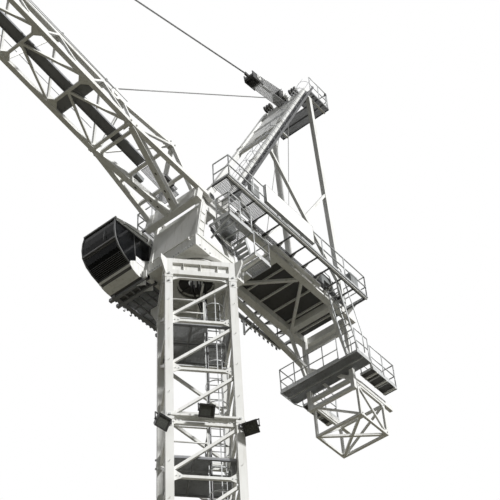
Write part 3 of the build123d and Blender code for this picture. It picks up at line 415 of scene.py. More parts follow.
def finishPiece(bm, name, body, base, replaces=(), extra=()):
    # one plain mesh from what was drawn and what the node trees grew; it rides on its body
    for other in extra:
        table = [slotOf(mat) for mat in other.materials]
        for polygon in other.polygons:
            polygon.material_index = table[polygon.material_index]
        bm.from_mesh(other)
        bpy.data.meshes.remove(other)
    mesh = bpy.data.meshes.new(name)
    materials = [base]
    for face in bm.faces:
        mat = palette[face.material_index - 1] if face.material_index else base
        if mat not in materials:
            materials.append(mat)
        face.material_index = materials.index(mat)
    bm.to_mesh(mesh)
    bm.free()
    for mat in materials:
        mesh.materials.append(mat)
    obj = makeObject(name, mesh)
    if body:
        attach(obj, body)
    if replaces:
        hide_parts(*replaces)
    return obj


# node trees for what repeats
class nodeTree:
    # short calls for a geometry node tree
    def __init__(self, name, inputs):
        self.tree = bpy.data.node_groups.new(name, "GeometryNodeTree")
        sockets = self.tree.interface
        sockets.new_socket("Geometry", in_out="INPUT", socket_type="NodeSocketGeometry")
        for label, start in inputs.items():
            kind = "NodeSocketInt" if isinstance(start, int) else "NodeSocketFloat"
            sockets.new_socket(label, in_out="INPUT", socket_type=kind).default_value = start
        sockets.new_socket("Material", in_out="INPUT", socket_type="NodeSocketMaterial")
        sockets.new_socket("Geometry", in_out="OUTPUT", socket_type="NodeSocketGeometry")
        self.enter = self.tree.nodes.new("NodeGroupInput")
        self.leave = self.tree.nodes.new("NodeGroupOutput")

    def __getitem__(self, label):
        return self.enter.outputs[label]

    def node(self, kind, settings=None, **inputs):
        # adds a node and gives its first output; inputs by name, with an underscore for each space
        made = self.tree.nodes.new(kind)
        for key, value in (settings or {}).items():
            setattr(made, key, value)
        for key, value in inputs.items():
            feed(self.tree, value, made.inputs[key.replace("_", " ")])
        return made.outputs[0]

    def calc(self, kind, first, second=0.0):
        return mathNode(self.tree, kind, first, second)

    def vector(self, x, y, z):
        return self.node("ShaderNodeCombineXYZ", X=x, Y=y, Z=z)

    def row(self, count, start, step, shape):
        line = self.node("GeometryNodeMeshLine", Count=count, Start_Location=start, Offset=step)
        return self.node("GeometryNodeInstanceOnPoints", Points=line, Instance=shape)

    def box(self, x, y, z):
        return self.node("GeometryNodeMeshCube", Size=self.vector(x, y, z))

    def moved(self, shape, **how):
        return self.node("GeometryNodeTransform", Geometry=shape, **how)

    def joined(self, *shapes):
        join = self.tree.nodes.new("GeometryNodeJoinGeometry")
        for shape in shapes:
            self.tree.links.new(shape, join.inputs[0])
        return join.outputs[0]

    def end(self, *shapes):
        real = self.node("GeometryNodeRealizeInstances", Geometry=self.joined(*shapes))
        dressed = self.node("GeometryNodeSetMaterial", Geometry=real, Material=self["Material"])
        self.tree.links.new(dressed, self.leave.inputs[0])
        return self.tree


def grow(tree, values, mesh=None):
    # run a tree once and keep its result as a plain mesh
    seed = mesh or bpy.data.meshes.new("seedMesh")
    holder = makeObject("grower", seed)
    modifier = holder.modifiers.new("grow", "NODES")
    modifier.node_group = tree
    for item in tree.interface.items_tree:
        if item.item_type == "SOCKET" and item.in_out == "INPUT" and item.name in values:
            modifier[item.identifier] = values[item.name]
    result = bpy.data.meshes.new_from_object(holder.evaluated_get(bpy.context.evaluated_depsgraph_get()))
    holder.modifiers.clear()
    bpy.data.objects.remove(holder)
    bpy.data.meshes.remove(seed)
    return result


def gratingTree():
    # bearing bars along Y set side by side in X, thin cross rods, and a kerb round the edge
    t = nodeTree("grating", {"Length": 1.0, "Width": 0.5, "Pitch": 0.03, "Bar": 0.006, "Depth": 0.036,
                             "Rod Pitch": 0.1})
    length, width, depth = t["Length"], t["Width"], t["Depth"]
    rod, kerb, kerbHeight = 0.007, 0.008, 0.04

    def spaced(size, pitch):
        # how many fit, the step between them and where the first stands
        count = t.calc("ROUND", t.calc("DIVIDE", size, pitch))
        step = t.calc("DIVIDE", size, count)
        return count, step, t.calc("MULTIPLY", t.calc("SUBTRACT", size, step), -0.5)

    bars, step, start = spaced(length, t["Pitch"])
    bearing = t.row(bars, t.vector(start, 0.0, 0.0), t.vector(step, 0.0, 0.0), t.box(t["Bar"], width, depth))
    rods, step, start = spaced(width, t["Rod Pitch"])
    lift = t.calc("MULTIPLY", depth, 0.4)
    cross = t.row(rods, t.vector(0.0, start, lift), t.vector(0.0, step, 0.0), t.box(length, rod, rod))
    sides = t.row(2, t.vector(0.0, t.calc("MULTIPLY", width, -0.5), 0.0), t.vector(0.0, width, 0.0),
                  t.box(t.calc("ADD", length, kerb), kerb, kerbHeight))
    ends = t.row(2, t.vector(t.calc("MULTIPLY", length, -0.5), 0.0, 0.0), t.vector(length, 0.0, 0.0),
                 t.box(kerb, t.calc("SUBTRACT", width, kerb), kerbHeight))
    return t.end(bearing, cross, sides, ends)


def boltTree():
    # a hexagon head and a washer on every point, turned to the point's own axis
    t = nodeTree("boltHeads", {})
    axis = t.node("GeometryNodeInputNamedAttribute", {"data_type": "FLOAT_VECTOR"}, Name="axis")
    size = t.node("GeometryNodeInputNamedAttribute", {"data_type": "FLOAT"}, Name="size")
    head = t.node("GeometryNodeMeshCylinder", Vertices=6, Radius=0.5, Depth=0.6)
    washer = t.node("GeometryNodeMeshCylinder", Vertices=8, Radius=0.75, Depth=0.12)
    bolt = t.joined(t.moved(head, Translation=(0.0, 0.0, 0.36)), washer)
    aim = t.node("FunctionNodeAlignEulerToVector", {"axis": "Z"}, Vector=axis)
    return t.end(t.node("GeometryNodeInstanceOnPoints", Points=t["Geometry"], Instance=bolt,
                        Rotation=aim, Scale=size))


def ladderTree():
    # rungs up a ladder with its foot at the origin, and safety hoops with upright straps
    t = nodeTree("ladder", {"Height": 3.0, "Width": 0.42, "Rung Pitch": 0.28, "Rung": 0.013, "Hoop Start": 2.2,
                            "Hoop Pitch": 0.8, "Hoop Radius": 0.34})
    radius, pitch, hoopStart, hoopPitch = t["Hoop Radius"], t["Rung Pitch"], t["Hoop Start"], t["Hoop Pitch"]
    footGap, hoopSpan, hoopShift = 0.15, 264, 0.67  # the hoop's middle stands off by a share of its radius
    rung = t.node("GeometryNodeMeshCylinder", Vertices=8, Radius=t["Rung"], Depth=t["Width"])
    ladder = t.row(t.calc("FLOOR", t.calc("DIVIDE", t["Height"], pitch)), t.vector(0.0, 0.0, footGap),
                   t.vector(0.0, 0.0, pitch), t.moved(rung, Rotation=(0.0, math.pi / 2, 0.0)))
    arc = t.node("GeometryNodeCurveArc", Resolution=17, Radius=radius, Start_Angle=math.radians(90 - hoopSpan / 2),
                 Sweep_Angle=math.radians(hoopSpan))
    flat = t.node("GeometryNodeCurvePrimitiveQuadrilateral", Width=0.006, Height=0.04)
    hoop = t.node("GeometryNodeCurveToMesh", Curve=arc, Profile_Curve=flat)
    caged = t.calc("SUBTRACT", t["Height"], hoopStart)
    hoops = t.calc("FLOOR", t.calc("ADD", t.calc("DIVIDE", caged, hoopPitch), 1.0))
    cage = t.row(hoops, t.vector(0.0, 0.0, hoopStart), t.vector(0.0, 0.0, hoopPitch),
                 t.moved(hoop, Translation=t.vector(0.0, t.calc("MULTIPLY", radius, hoopShift), 0.0)))
    strap = t.box(0.03, 0.006, caged)
    middle = t.calc("ADD", hoopStart, t.calc("MULTIPLY", caged, 0.5))
    straps = []
    for angle in (math.radians(degrees) for degrees in (20, 90, 160)):
        x, y = (t.calc("MULTIPLY", radius, reach) for reach in (math.cos(angle), math.sin(angle) + hoopShift))
        straps.append(t.moved(strap, Translation=t.vector(x, y, middle)))
    return t.end(ladder, cage, *straps)


def windingTree():
    # one layer of rope wound on a drum that lies along Z
    t = nodeTree("winding", {"Radius": 0.3, "Length": 0.9, "Rope": 0.013})
    turns = t.calc("DIVIDE", t["Length"], t.calc("MULTIPLY", t["Rope"], 2.2))
    coil = t.node("GeometryNodeCurveSpiral", Resolution=22, Rotations=turns, Start_Radius=t["Radius"],
                  End_Radius=t["Radius"], Height=t["Length"])
    profile = t.node("GeometryNodeCurvePrimitiveCircle", Resolution=5, Radius=t["Rope"])
    rope = t.node("GeometryNodeCurveToMesh", Curve=coil, Profile_Curve=profile, Fill_Caps=True)
    return t.end(rope)


def toothTree():
    # gear teeth round the slewing ring
    t = nodeTree("ringTeeth", {"Radius": 0.95, "Count": 90, "Tooth": 0.03, "Height": 0.12})
    pitchLine = t.node("GeometryNodeMeshCircle", Vertices=t["Count"], Radius=t["Radius"])
    place = t.node("GeometryNodeInputPosition")
    aim = t.node("FunctionNodeAlignEulerToVector", {"axis": "X"}, Vector=place)
    tooth = t.box(t.calc("MULTIPLY", t["Tooth"], 1.3), t["Tooth"], t["Height"])
    return t.end(t.node("GeometryNodeInstanceOnPoints", Points=pitchLine, Instance=tooth,
                        Rotation=aim))


def slatTree():
    # sloping louvre slats one above another, over a width along X
    t = nodeTree("louvres", {"Width": 0.8, "Height": 0.6, "Pitch": 0.05, "Slat": 0.045, "Tilt": 0.7})
    count = t.calc("FLOOR", t.calc("DIVIDE", t["Height"], t["Pitch"]))
    slat = t.moved(t.box(t["Width"], t["Slat"], 0.003), Rotation=t.vector(t["Tilt"], 0.0, 0.0))
    start = t.calc("MULTIPLY", t["Height"], -0.5)
    return t.end(t.row(count, t.vector(0.0, 0.0, start), t.vector(0.0, 0.0, t["Pitch"]), slat))


trees = {"grating": gratingTree(), "bolts": boltTree(), "ladder": ladderTree(), "winding": windingTree(),
         "teeth": toothTree(), "slats": slatTree()}
print("node trees ready")


def frameAt(origin, xDir, yDir):
    x, y = Vector(xDir).normalized(), Vector(yDir)
    y = (y - x * y.dot(x)).normalized()
    turn = Matrix((x, y, x.cross(y))).transposed().to_4x4()
    return Matrix.Translation(Vector(origin)) @ turn


gratingDrop = 0.02  # from the walking surface to a grating's middle


def grating(centre, length, width, xDir=ahead, yDir=leftward, **changes):
    mesh = grow(trees["grating"], {"Length": length, "Width": width, "Material": walkSteel, **changes})
    mesh.transform(frameAt(centre, xDir, yDir))
    return mesh


def boltHeads(spots):
    # spots: (place, axis, size across the flats)
    places, axes, sizes = zip(*spots)
    mesh = bpy.data.meshes.new("spots")
    mesh.from_pydata([tuple(place) for place in places], [], [])
    for name, kind in (("axis", "FLOAT_VECTOR"), ("size", "FLOAT")):
        mesh.attributes.new(name, kind, "POINT")
    for index, (axis, size) in enumerate(zip(axes, sizes)):
        mesh.attributes["axis"].data[index].vector = axis
        mesh.attributes["size"].data[index].value = size
    return grow(trees["bolts"], {"Material": zincSteel}, mesh)


thinRail, thickRail = 0.021, 0.024


def addRailing(bm, points, height=1.08, radius=thinRail, mat=None, kick=True, gap=1.3):
    # round posts, top and knee rails, and a kick plate, along floor points
    points = [Vector(p) for p in points]
    for level in (0.5, 1.0):
        addTube(bm, [p + upward * (height * level - radius) for p in points], radius, 8, mat)
    for a, b in zip(points, points[1:]):
        run = b - a
        count = max(1, round(run.length / gap))
        for step in range(count + 1):
            foot = a + run * (step / count)
            addTube(bm, [foot, foot + upward * (height - radius * 1.2)], radius, 8, mat)
        if kick:
            addBar(bm, a + upward * 0.06, b + upward * 0.06, 0.1, 0.006, upward, mat)


# floor, light and world
floorValues = {"half": 40.0, "pale": (0.8, 0.8, 0.8, 1), "bounce": (0.2, 0.19, 0.145, 1)}
lightValues = {"sun": 3.8, "softness": 5.0, "from": (0.0, 1.0, 0.58), "sky": 0.15}


def makeFloor(values):
    mesh = bpy.data.meshes.new("floor")
    h = values["half"]
    mesh.from_pydata([(-h, -h, 0), (h, -h, 0), (h, h, 0), (-h, h, 0)], [], [(0, 1, 2, 3)])
    floor = makeObject("floor", mesh)
    mat, tree, shader = newMaterial("paleFloor")
    path = tree.nodes.new("ShaderNodeLightPath")
    # pale where it is seen, earth-toned in the light that it throws up under the deck
    colour = mixColour(tree, path.outputs["Is Camera Ray"], values["bounce"], values["pale"])
    wire(tree, [(colour, shader.inputs["Base Color"])])
    shader.inputs["Roughness"].default_value = 0.9
    clear = tree.nodes.new("ShaderNodeBsdfTransparent")
    side = tree.nodes.new("ShaderNodeNewGeometry")
    mix = tree.nodes.new("ShaderNodeMixShader")
    wire(tree, [(side.outputs["Backfacing"], mix.inputs[0]), (shader.outputs[0], mix.inputs[1]),
                (clear.outputs[0], mix.inputs[2]), (mix.outputs[0], tree.nodes["Material Output"].inputs["Surface"])])
    mesh.materials.append(mat)


def makeLight(values):
    data = bpy.data.lights.new("softSun", "SUN")
    data.energy = values["sun"]
    data.angle = math.radians(values["softness"])
    lamp = makeObject("softSun", data)
    lamp.rotation_euler = Vector(values["from"]).to_track_quat("Z", "Y").to_euler()
    world = bpy.data.worlds.new("studio")
    scene.world = world
    world.use_nodes = True
    tree = world.node_tree
    tree.nodes.clear()
    path = tree.nodes.new("ShaderNodeLightPath")
    seen = mathNode(tree, "MAXIMUM", path.outputs["Is Camera Ray"], path.outputs["Is Glossy Ray"])
    seen = mathNode(tree, "MAXIMUM", seen, path.outputs["Is Transmission Ray"])
    sky = tree.nodes.new("ShaderNodeBackground")
    sky.inputs["Color"].default_value = (0.93, 0.96, 1.0, 1)
    sky.inputs["Strength"].default_value = values["sky"]
    white = tree.nodes.new("ShaderNodeBackground")
    white.inputs["Color"].default_value = (1, 1, 1, 1)
    mix = tree.nodes.new("ShaderNodeMixShader")
    out = tree.nodes.new("ShaderNodeOutputWorld")
    wire(tree, [(seen, mix.inputs[0]), (sky.outputs[0], mix.inputs[1]), (white.outputs[0], mix.inputs[2]),
                (mix.outputs[0], out.inputs["Surface"])])


makeFloor(floorValues)
makeLight(lightValues)

# finishes of the carried-over solids
finishOf = {
    craneWhite: ["a_frame_braces", "a_frame_front_legs", "a_frame_head", "a_frame_rear_legs", "cab_platform",
                 "counter_jib_cross_beams", "counterweight_frame", "jib_bottom", "jib_foot_section", "jib_head",
                 "jib_left_side", "jib_right_side", "jib_top_chord", "left_girder", "right_girder", "mast_base",
                 "mast_front_bracing", "mast_left_side", "mast_rear_bracing", "mast_right_side", "rear_frame",
                 "slewing_support", "turret_base", "turret_front_plate", "turret_left_cheek",
                 "turret_right_cheek", "jib_rope_sheave"],
    blockBlack: ["luffing_block"],
    boardWhite: ["name_board", "cab_body"],
    zincSteel: ["deck_railings", "rear_ladder", "mast_ladder", "rear_platforms", "head_platform",
                "turret_platforms", "machinery_deck"],
    darkZincAndShade: ["jib_walkway", "mast_landings"],
    machineGrey: ["hoist_winch", "luffing_winch", "switch_cabinet"],
    greasedSteel: ["head_sheaves", "jib_head_sheave", "jib_pivot_pins", "slewing_ring"],
    smokedGlass: ["cab_glass"],
    blackRubber: ["power_cable"],
    lampBlack: ["floodlights"],
    ropeSteel: ["luffing_falls", "jib_hoist_rope", "hook_falls"],
    wireRope: ["luffing_line", "hoist_rope"],
    hookYellow: ["hook_block"],
}
for mat, names in finishOf.items():
    for name in names:
        data = nodes[name].data
        if not data.materials:
            data.materials.append(mat)
        for slot in nodes[name].material_slots:
            slot.material = mat
print("finishes on", sum(len(v) for v in finishOf.values()), "solids")

# mast: hooped ladder, see-through landings, splice collars, bolts, lamps and cable guides
mastValues = {
    "ladder": (0.25, 0.48), "ladderWidth": 0.47, "ladderTop": 11.75, "hoopStart": 2.4, "brace": 0.95,
    "landings": (5.006, 10.116), "hatch": (0.1, 0.86, 0.195, 0.765), "floor": (0.9, 0.97),
    "bays": 6, "collar": 0.268, "stepRungs": 9,
    "lamps": ((1.41, -1.2995, 5.78, 0.55), (1.41, 0.0, 6.3, 0.05), (1.41, 1.2995, 5.78, -0.5)),
    "lampHalf": (0.235, 0.2), "lampBar": (1.15, 1.03, 6.3), "guides": 6, "passage": 0.84, "hole": 0.24,
}


def makeMastLadder(values):
    x, y = values["ladder"]
    width, top = pick(values, "ladderWidth ladderTop")
    rungs = grow(trees["ladder"], {"Height": top, "Width": width, "Hoop Start": values["hoopStart"],
                                   "Material": zincSteel})
    rungs.transform(frameAt(onMast(x, y, 0), -mastLeft, mastAhead))
    bm = bmesh.new()
    for side in (-1, 1):
        stile = y + side * width / 2
        foot = onMast(x, stile, 0)
        addBar(bm, foot, foot + upward * top, 0.05, 0.02, mastAhead)
        for level in range(1, 12, 2):  # stays out to the mast's side braces
            addBar(bm, onMast(x, stile, level), onMast(x, side * values["brace"], level), 0.04, 0.008, upward)
    finishPiece(bm, "mastLadder", "mast", zincSteel, ["mast_ladder"], [rungs])


def makeMastLandings(values):
    bm, grown = bmesh.new(), []
    x0, x1, y0, y1 = values["hatch"]
    long, wide = values["floor"]
    near, edge = -0.92, long - 0.03
    trays = (((-long, -wide), (x0, wide)), ((x1, -wide), (long, wide)),
             ((x0, -wide), (x1, y0)), ((x0, y1), (x1, wide)))
    rails = ((((x0, y1 + 0.12), (x0, y0 - 0.05), (x1, y0 - 0.05)), 0.02, zincSteel),
             (((edge, near), (edge, y0 - 0.1)), thickRail, craneWhite),
             (((-edge, near), (-edge, -near)), 0.02, zincSteel))
    for level in values["landings"]:
        z = level + 0.02
        for (xa, ya), (xb, yb) in trays:
            middle = onMast((xa + xb) / 2, (ya + yb) / 2, z)
            grown.append(grating(middle, xb - xa - 0.01, yb - ya - 0.01, mastAhead, mastLeft))
        for x in (-0.88, 0.0, 0.88):
            addBar(bm, onMast(x, -wide, z - 0.06), onMast(x, wide, z - 0.06), 0.05, 0.07, upward)
        for y in (-0.95, -0.3, 0.95):
            addBar(bm, onMast(-long, y, z - 0.05), onMast(long, y, z - 0.05), 0.04, 0.06, upward)
        for line, radius, mat in rails:
            addRailing(bm, [onMast(x, y, z) for x, y in line], radius=radius, mat=mat, kick=False)
    finishPiece(bm, "mastLandings", "mast", darkZincAndShade, ["mast_landings"], grown)


def makeMastSplices(values):
    # collars with pins at the joints, end plates of the braces, foot bolts and step rungs
    bm, spots = bmesh.new(), []
    bays, collar = pick(values, "bays collar")
    joint = footHeight + bays // 2 * bayHeight
    for sx, sy in corners:
        leg = onMast(sx * legCentre, sy * legCentre, 0)
        for level, shift in ((joint, 0.0), (mastTop, -0.06)):
            for side in (-0.055, 0.055):
                middle = leg + upward * (level + side + shift)
                addBar(bm, middle - upward * 0.045, middle + upward * 0.045, collar, collar, mastAhead)
            middle = leg + upward * (level + shift * 2.8)
            for axis in (mastAhead * sx, mastLeft * sy):
                face = middle + axis * 0.122
                addBar(bm, face - upward * 0.24, face + upward * 0.24, 0.16, 0.016, axis.cross(upward))
                for step in (-0.16, 0.16):
                    spots.append((middle + upward * step + axis * 0.13, axis, 0.07))
        for bay in range(bays + 1):
            level = footHeight + bayHeight * bay + (0.045 if bay < bays else -0.045)
            for axis, other in ((mastAhead * -sx, mastLeft * sy), (mastLeft * -sy, mastAhead * sx)):
                root = leg + upward * level + axis * 0.12 + other * 0.035
                tip = root + axis * 0.24
                addPlate(bm, [root - upward * 0.17, tip - upward * 0.05, tip + upward * 0.05, root + upward * 0.22],
                         gussetSheet)
                for reach in (0.07, 0.17):
                    spots.append((root + axis * reach + other * 0.008, other, 0.035))
        for ax, ay in corners:
            spots.append((onMast(sx * legCentre + ax * 0.24, sy * legCentre + ay * 0.24, 0.06), upward, 0.055))
        for k in range(values["stepRungs"] if sx > 0 else 0):
            at = leg + upward * (0.9 + k * 1.25) + mastAhead * 0.115
            addTube(bm, [at, at + mastAhead * 0.07], 0.009, 6)
    finishPiece(bm, "mastSplices", "mast", craneWhite, (), [boltHeads(spots)])


def makeFloodlights(values):
    # three lamps with a tapered body, fins and a forked bracket each, on one bar
    bm = bmesh.new()
    wide, tall = values["lampHalf"]
    barX, barEnd, barLevel = values["lampBar"]
    addBar(bm, onMast(barX, -barEnd, barLevel), onMast(barX, barEnd, barLevel), 0.07, 0.07, upward, craneWhite)
    for x, y, level, turn in values["lamps"]:
        lamp = onMast(x, y, level)
        aim = (mastAhead * 0.75 - upward * 0.65 + mastLeft * turn).normalized()
        side = upward.cross(aim).normalized()
        top = aim.cross(side).normalized()
        back, front = lamp - aim * 0.11, lamp + aim * 0.1
        rows = ((back, 0.66, 0.6), (front, 1, 1), (front, 0.8, 0.74), (front - aim * 0.025, 0.8, 0.74))
        loops = [[bm.verts.new(at + side * a * wide * w + top * b * tall * t)
                  for a, b in ((-1, -1), (1, -1), (1, 1), (-1, 1))] for at, w, t in rows]
        bm.faces.new(loops[0][::-1])
        bm.faces.new(loops[3]).material_index = slotOf(lampGlass)
        for low, high in zip(loops, loops[1:]):
            bridge(bm, low, high)
        for k in range(-3, 4):  # cooling fins on the back
            at = back + side * wide * k * 0.19 - aim * 0.015
            addBar(bm, at - top * tall * 0.55, at + top * tall * 0.55, 0.008, 0.05, side)
        foot = onMast(1.16, max(-barEnd, min(barEnd, y)), level + 0.22)
        for s in (-1, 1):  # the forked bracket
            arm = lamp + side * s * wide * 0.98
            addTube(bm, [foot + side * s * 0.05, arm + upward * 0.24, arm], 0.016, 6)
            addTube(bm, [arm - side * 0.02 * s, arm + side * 0.02 * s], 0.03)
        addBar(bm, foot - mastAhead * 0.03, foot + mastAhead * 0.03, 0.16, 0.12, upward)
        addTube(bm, [foot - upward * 0.05, foot + mastAhead * 0.08 - upward * 0.2, back], 0.01, 6)
    finishPiece(bm, "floodlightHousings", "mast", lampBlack, ["floodlights"])


def makeCableGuides(values):
    # black conduits that rise into the slewing ring, on a clamp bar, and a black ring plate round them, which paints
    # the shade in the support's round opening
    bm = bmesh.new()
    hole = values["hole"]
    for k, (x, y) in enumerate(circle(values["guides"])):
        low = onMast(0.42 + 0.03 * x, 0.2 + 0.05 * y, 10.3 + 0.1 * k)
        high = Vector((0.16 * x, 0.16 * y, 12.9))
        bend = low * 0.7 + high * 0.3 + upward * (0.15 + 0.04 * k)
        addTube(bm, [low, low + upward * 0.5, bend, high - upward * 0.45, high], 0.026, 7)
    # painted shade: a black plate with spokes across the round opening
    addRing(bm, (0, 0, 12.87), upward, values["passage"], hole, 0.03, 40)
    for x, y in circle(8):
        addBar(bm, (hole * x, hole * y, 12.84), (0.8 * x, 0.8 * y, 12.84), 0.02, 0.05, upward)
    addBar(bm, onMast(-0.92, 0.1, 11.9), onMast(0.92, 0.1, 11.9), 0.06, 0.06, upward, craneWhite)
    finishPiece(bm, "cableGuides", "mast", blackRubber)


makeMastLadder(mastValues)
makeMastLandings(mastValues)
makeMastSplices(mastValues)
makeFloodlights(mastValues)
makeCableGuides(mastValues)
print("mast dressed")

# slewing ring: teeth on the lower half, bolts under the turret, flared skirt above
ringValues = {"radius": 0.95, "teeth": 96, "bolts": 40, "flangeBolts": 28, "skirtFoot": 1.0, "skirtTop": 1.17,
              "sides": 48}


def makeRing(values):
    teeth = grow(trees["teeth"], {"Radius": values["radius"] + 0.01, "Count": values["teeth"], "Tooth": 0.03,
                                  "Height": 0.14, "Material": greasedSteel})
    teeth.transform(Matrix.Translation((0, 0, supportTop + 0.09)))
    bm = bmesh.new()
    addRing(bm, (0, 0, supportTop + 0.185), upward, 1.03, 0.94, 0.03, 64)
    spots = [(Vector((x, y, supportTop + 0.2)), upward, 0.04) for x, y in circle(values["bolts"], 0.99)]
    spots += [(Vector((x, y, supportTop - 0.045)), -upward, 0.04) for x, y in circle(values["flangeBolts"], 0.93)]
    for step in (-0.55, 0.0, 0.55):  # stiffeners of the support's four faces
        for axis, other in ((mastAhead, mastLeft), (mastLeft, mastAhead)):
            for side in (1, -1):
                at = axis * side * (legCentre + 0.07) + other * step
                addBar(bm, at + upward * (mastTop + 0.1), at + upward * (supportTop - 0.1), 0.012, 0.09, other)
    finishPiece(bm, "ringTeeth", "mast", craneWhite, (), [teeth, boltHeads(spots)])


def makeSkirt(values):
    # the flared cover between the ring and the square turret base, with its clamp band
    bm = bmesh.new()
    foot, top = pick(values, "skirtFoot skirtTop")
    rows = ((foot + 0.045, supportTop + 0.235), (foot + 0.06, supportTop + 0.26), (top - 0.03, turretBottom - 0.02),
            (top, turretBottom + 0.05), (top - 0.05, turretBottom + 0.05), (foot + 0.02, supportTop + 0.26))
    loops = [[bm.verts.new((x, y, z)) for x, y in circle(values["sides"], radius)] for radius, z in rows]
    for low, high in zip(loops, loops[1:] + loops[:1]):
        bridge(bm, low, high, smooth=True)
    bmesh.ops.recalc_face_normals(bm, faces=bm.faces)
    finishPiece(bm, "turretSkirt", "upper", craneWhite)


makeRing(ringValues)
makeSkirt(ringValues)

# turret: slewing drives, flanges on the side plates, pin keepers, top plates, cabinet and pipes
turretValues = {
    "cheek": 1.05, "inner": 0.93, "front": 1.2, "drive": (0.62, 0.52),
    "driveParts": ((13.55, 13.95, 0.2), (13.95, 14.0, 0.25), (14.0, 14.4, 0.15), (14.4, 14.52, 0.17)),
    "postEdges": (((1.13, 13.56), (0.76, 15.5)), ((-0.85, 13.56), (-0.28, 15.75)), ((0.82, 13.72), (0.62, 15.1)),
                  ((-0.48, 13.72), (0.1, 15.1))),
    "postRibs": (13.95, 14.4, 14.85), "baseBolts": 9, "slope": ((0.66, 0, 15.12), (-0.22, 0, 15.7)),
    "frontStrip": ((0.868, 0, 15.0), (0.775, 0, 15.42)), "pipes": 4,
    "cabinet": (((-0.62, 1.07, 14.56), (-0.12, 1.32, 15.3), darkZincAndShade),
                ((-0.59, 1.32, 14.6), (-0.15, 1.33, 15.26), machineGrey),
                ((-0.65, 1.05, 15.3), (-0.09, 1.36, 15.32), darkZincAndShade)),
}


def addDrive(bm, spots, values, side):
    # gearbox, flange, finned motor with its fan cover and terminal box
    x, y = values["drive"][0], side * values["drive"][1]
    for low, high, radius in values["driveParts"]:
        addTube(bm, [(x, y, low), (x, y, high)], radius, 20, machineGrey)
    for c, s in circle(12):
        fin = (x + 0.15 * c, y + 0.15 * s)
        addBar(bm, (*fin, 14.04), (*fin, 14.38), 0.008, 0.04, (-s, c, 0), machineGrey)
        spots.append((Vector((x + 0.225 * c, y + 0.225 * s, 14.0)), upward, 0.025))
    addBox(bm, (x - 0.09, y - 0.26, 14.1), (x + 0.09, y - 0.14, 14.28), machineGrey)


def makeTurretTrim(values):
    bm, spots = bmesh.new(), []
    outer, inner, front = pick(values, "cheek inner front")
    for side in (1, -1):
        addDrive(bm, spots, values, side)
        face = side * (outer + 0.014)
        for (xa, za), (xb, zb) in values["postEdges"]:
            addBar(bm, (xa, face, za), (xb, face, zb), 0.03, 0.022)
        addBar(bm, (-0.82, face, 13.59), (1.12, face, 13.59), 0.03, 0.03)
        for z in values["postRibs"]:
            share = (z - turretTop) / 2.3
            for start, end in ((-0.85 + 0.6 * share, -0.52 + 0.6 * share), (0.84 - 0.24 * share, 1.13 - 0.38 * share)):
                addBar(bm, (start, face, z), (end, face, z), 0.03, 0.014)
        # keeper plates and bolts of the pivot pins
        pin = Vector((pivotPoint.x, side * 1.268, pivotPoint.z))
        addTube(bm, [pin - leftward * side * 0.006, pin + leftward * side * 0.012], 0.13, 20, machineGrey)
        for x, z in circle(6, 0.095):
            spots.append((pin + Vector((x, side * 0.012, z)), leftward * side, 0.03))
        for k in range(values["baseBolts"]):
            spots.append((Vector((-1.0 + k * 0.25, side * outer, turretBottom + 0.1)), leftward * side, 0.045))
            spots.append((Vector((front, side * (0.1 + 0.105 * k), turretBottom + 0.08)), ahead, 0.04))
        addRing(bm, (front + 0.02, side * 0.8, turretTop - 0.1), leftward, 0.07, 0.035, 0.03, 14)  # lifting eye
    addBar(bm, (front + 0.005, -0.95, turretTop - 0.03), (front + 0.005, 0.95, turretTop - 0.03), 0.02, 0.05, upward)
    # sloping plate behind the jib's foot with two stiffeners, and a strip above the front plate
    low, high = (Vector(v) for v in values["slope"])
    addBar(bm, low, high, inner * 2 - 0.02, 0.016)
    addBar(bm, *values["frontStrip"], inner * 2 - 0.02, 0.02)
    for y in (-0.4, 0.4):
        shift = leftward * y - upward * 0.05
        addBar(bm, low + shift, high + shift, 0.016, 0.09)
    for low, high, mat in values["cabinet"]:
        addBox(bm, low, high, mat)
    for k in range(values["pipes"]):
        y, z = outer + 0.06, 13.98 + 0.07 * k
        addTube(bm, [(-1.25, y, z), (0.0, y, z), (0.5, y, z + 0.25)], 0.014, 6, blackRubber)
    finishPiece(bm, "turretTrim", "upper", craneWhite, (), [boltHeads(spots)])


makeTurretTrim(turretValues)
print("turret dressed")

# machinery deck: gratings on the walks, plated floor, joists, railings, fittings and the bare name board
deckValues = {
    "rear": -7.45, "front": 0.65, "half": 2.13, "walk": 0.18, "joists": 12, "frontFloor": -1.6, "frontInner": 1.355,
    "plateFront": -3.17, "girder": 1.18, "openBar": -2.95, "ribs": 6, "stiffeners": 9,
    "pipes": 4, "posts": (-5.2, -2.3), "teeth": 30, "clamps": (-3.0, -4.1, -5.2),
    "boxes": (((-1.05, 1.95, 16.35), (-0.6, 2.11, 16.95)), ((-6.9, 1.9, 16.3), (-6.45, 2.1, 16.8))),
    "board": (-4.05, -1.3, 2.108, 2.2278), "boardLevels": (0.15, 1.05), "rim": 0.012,
}


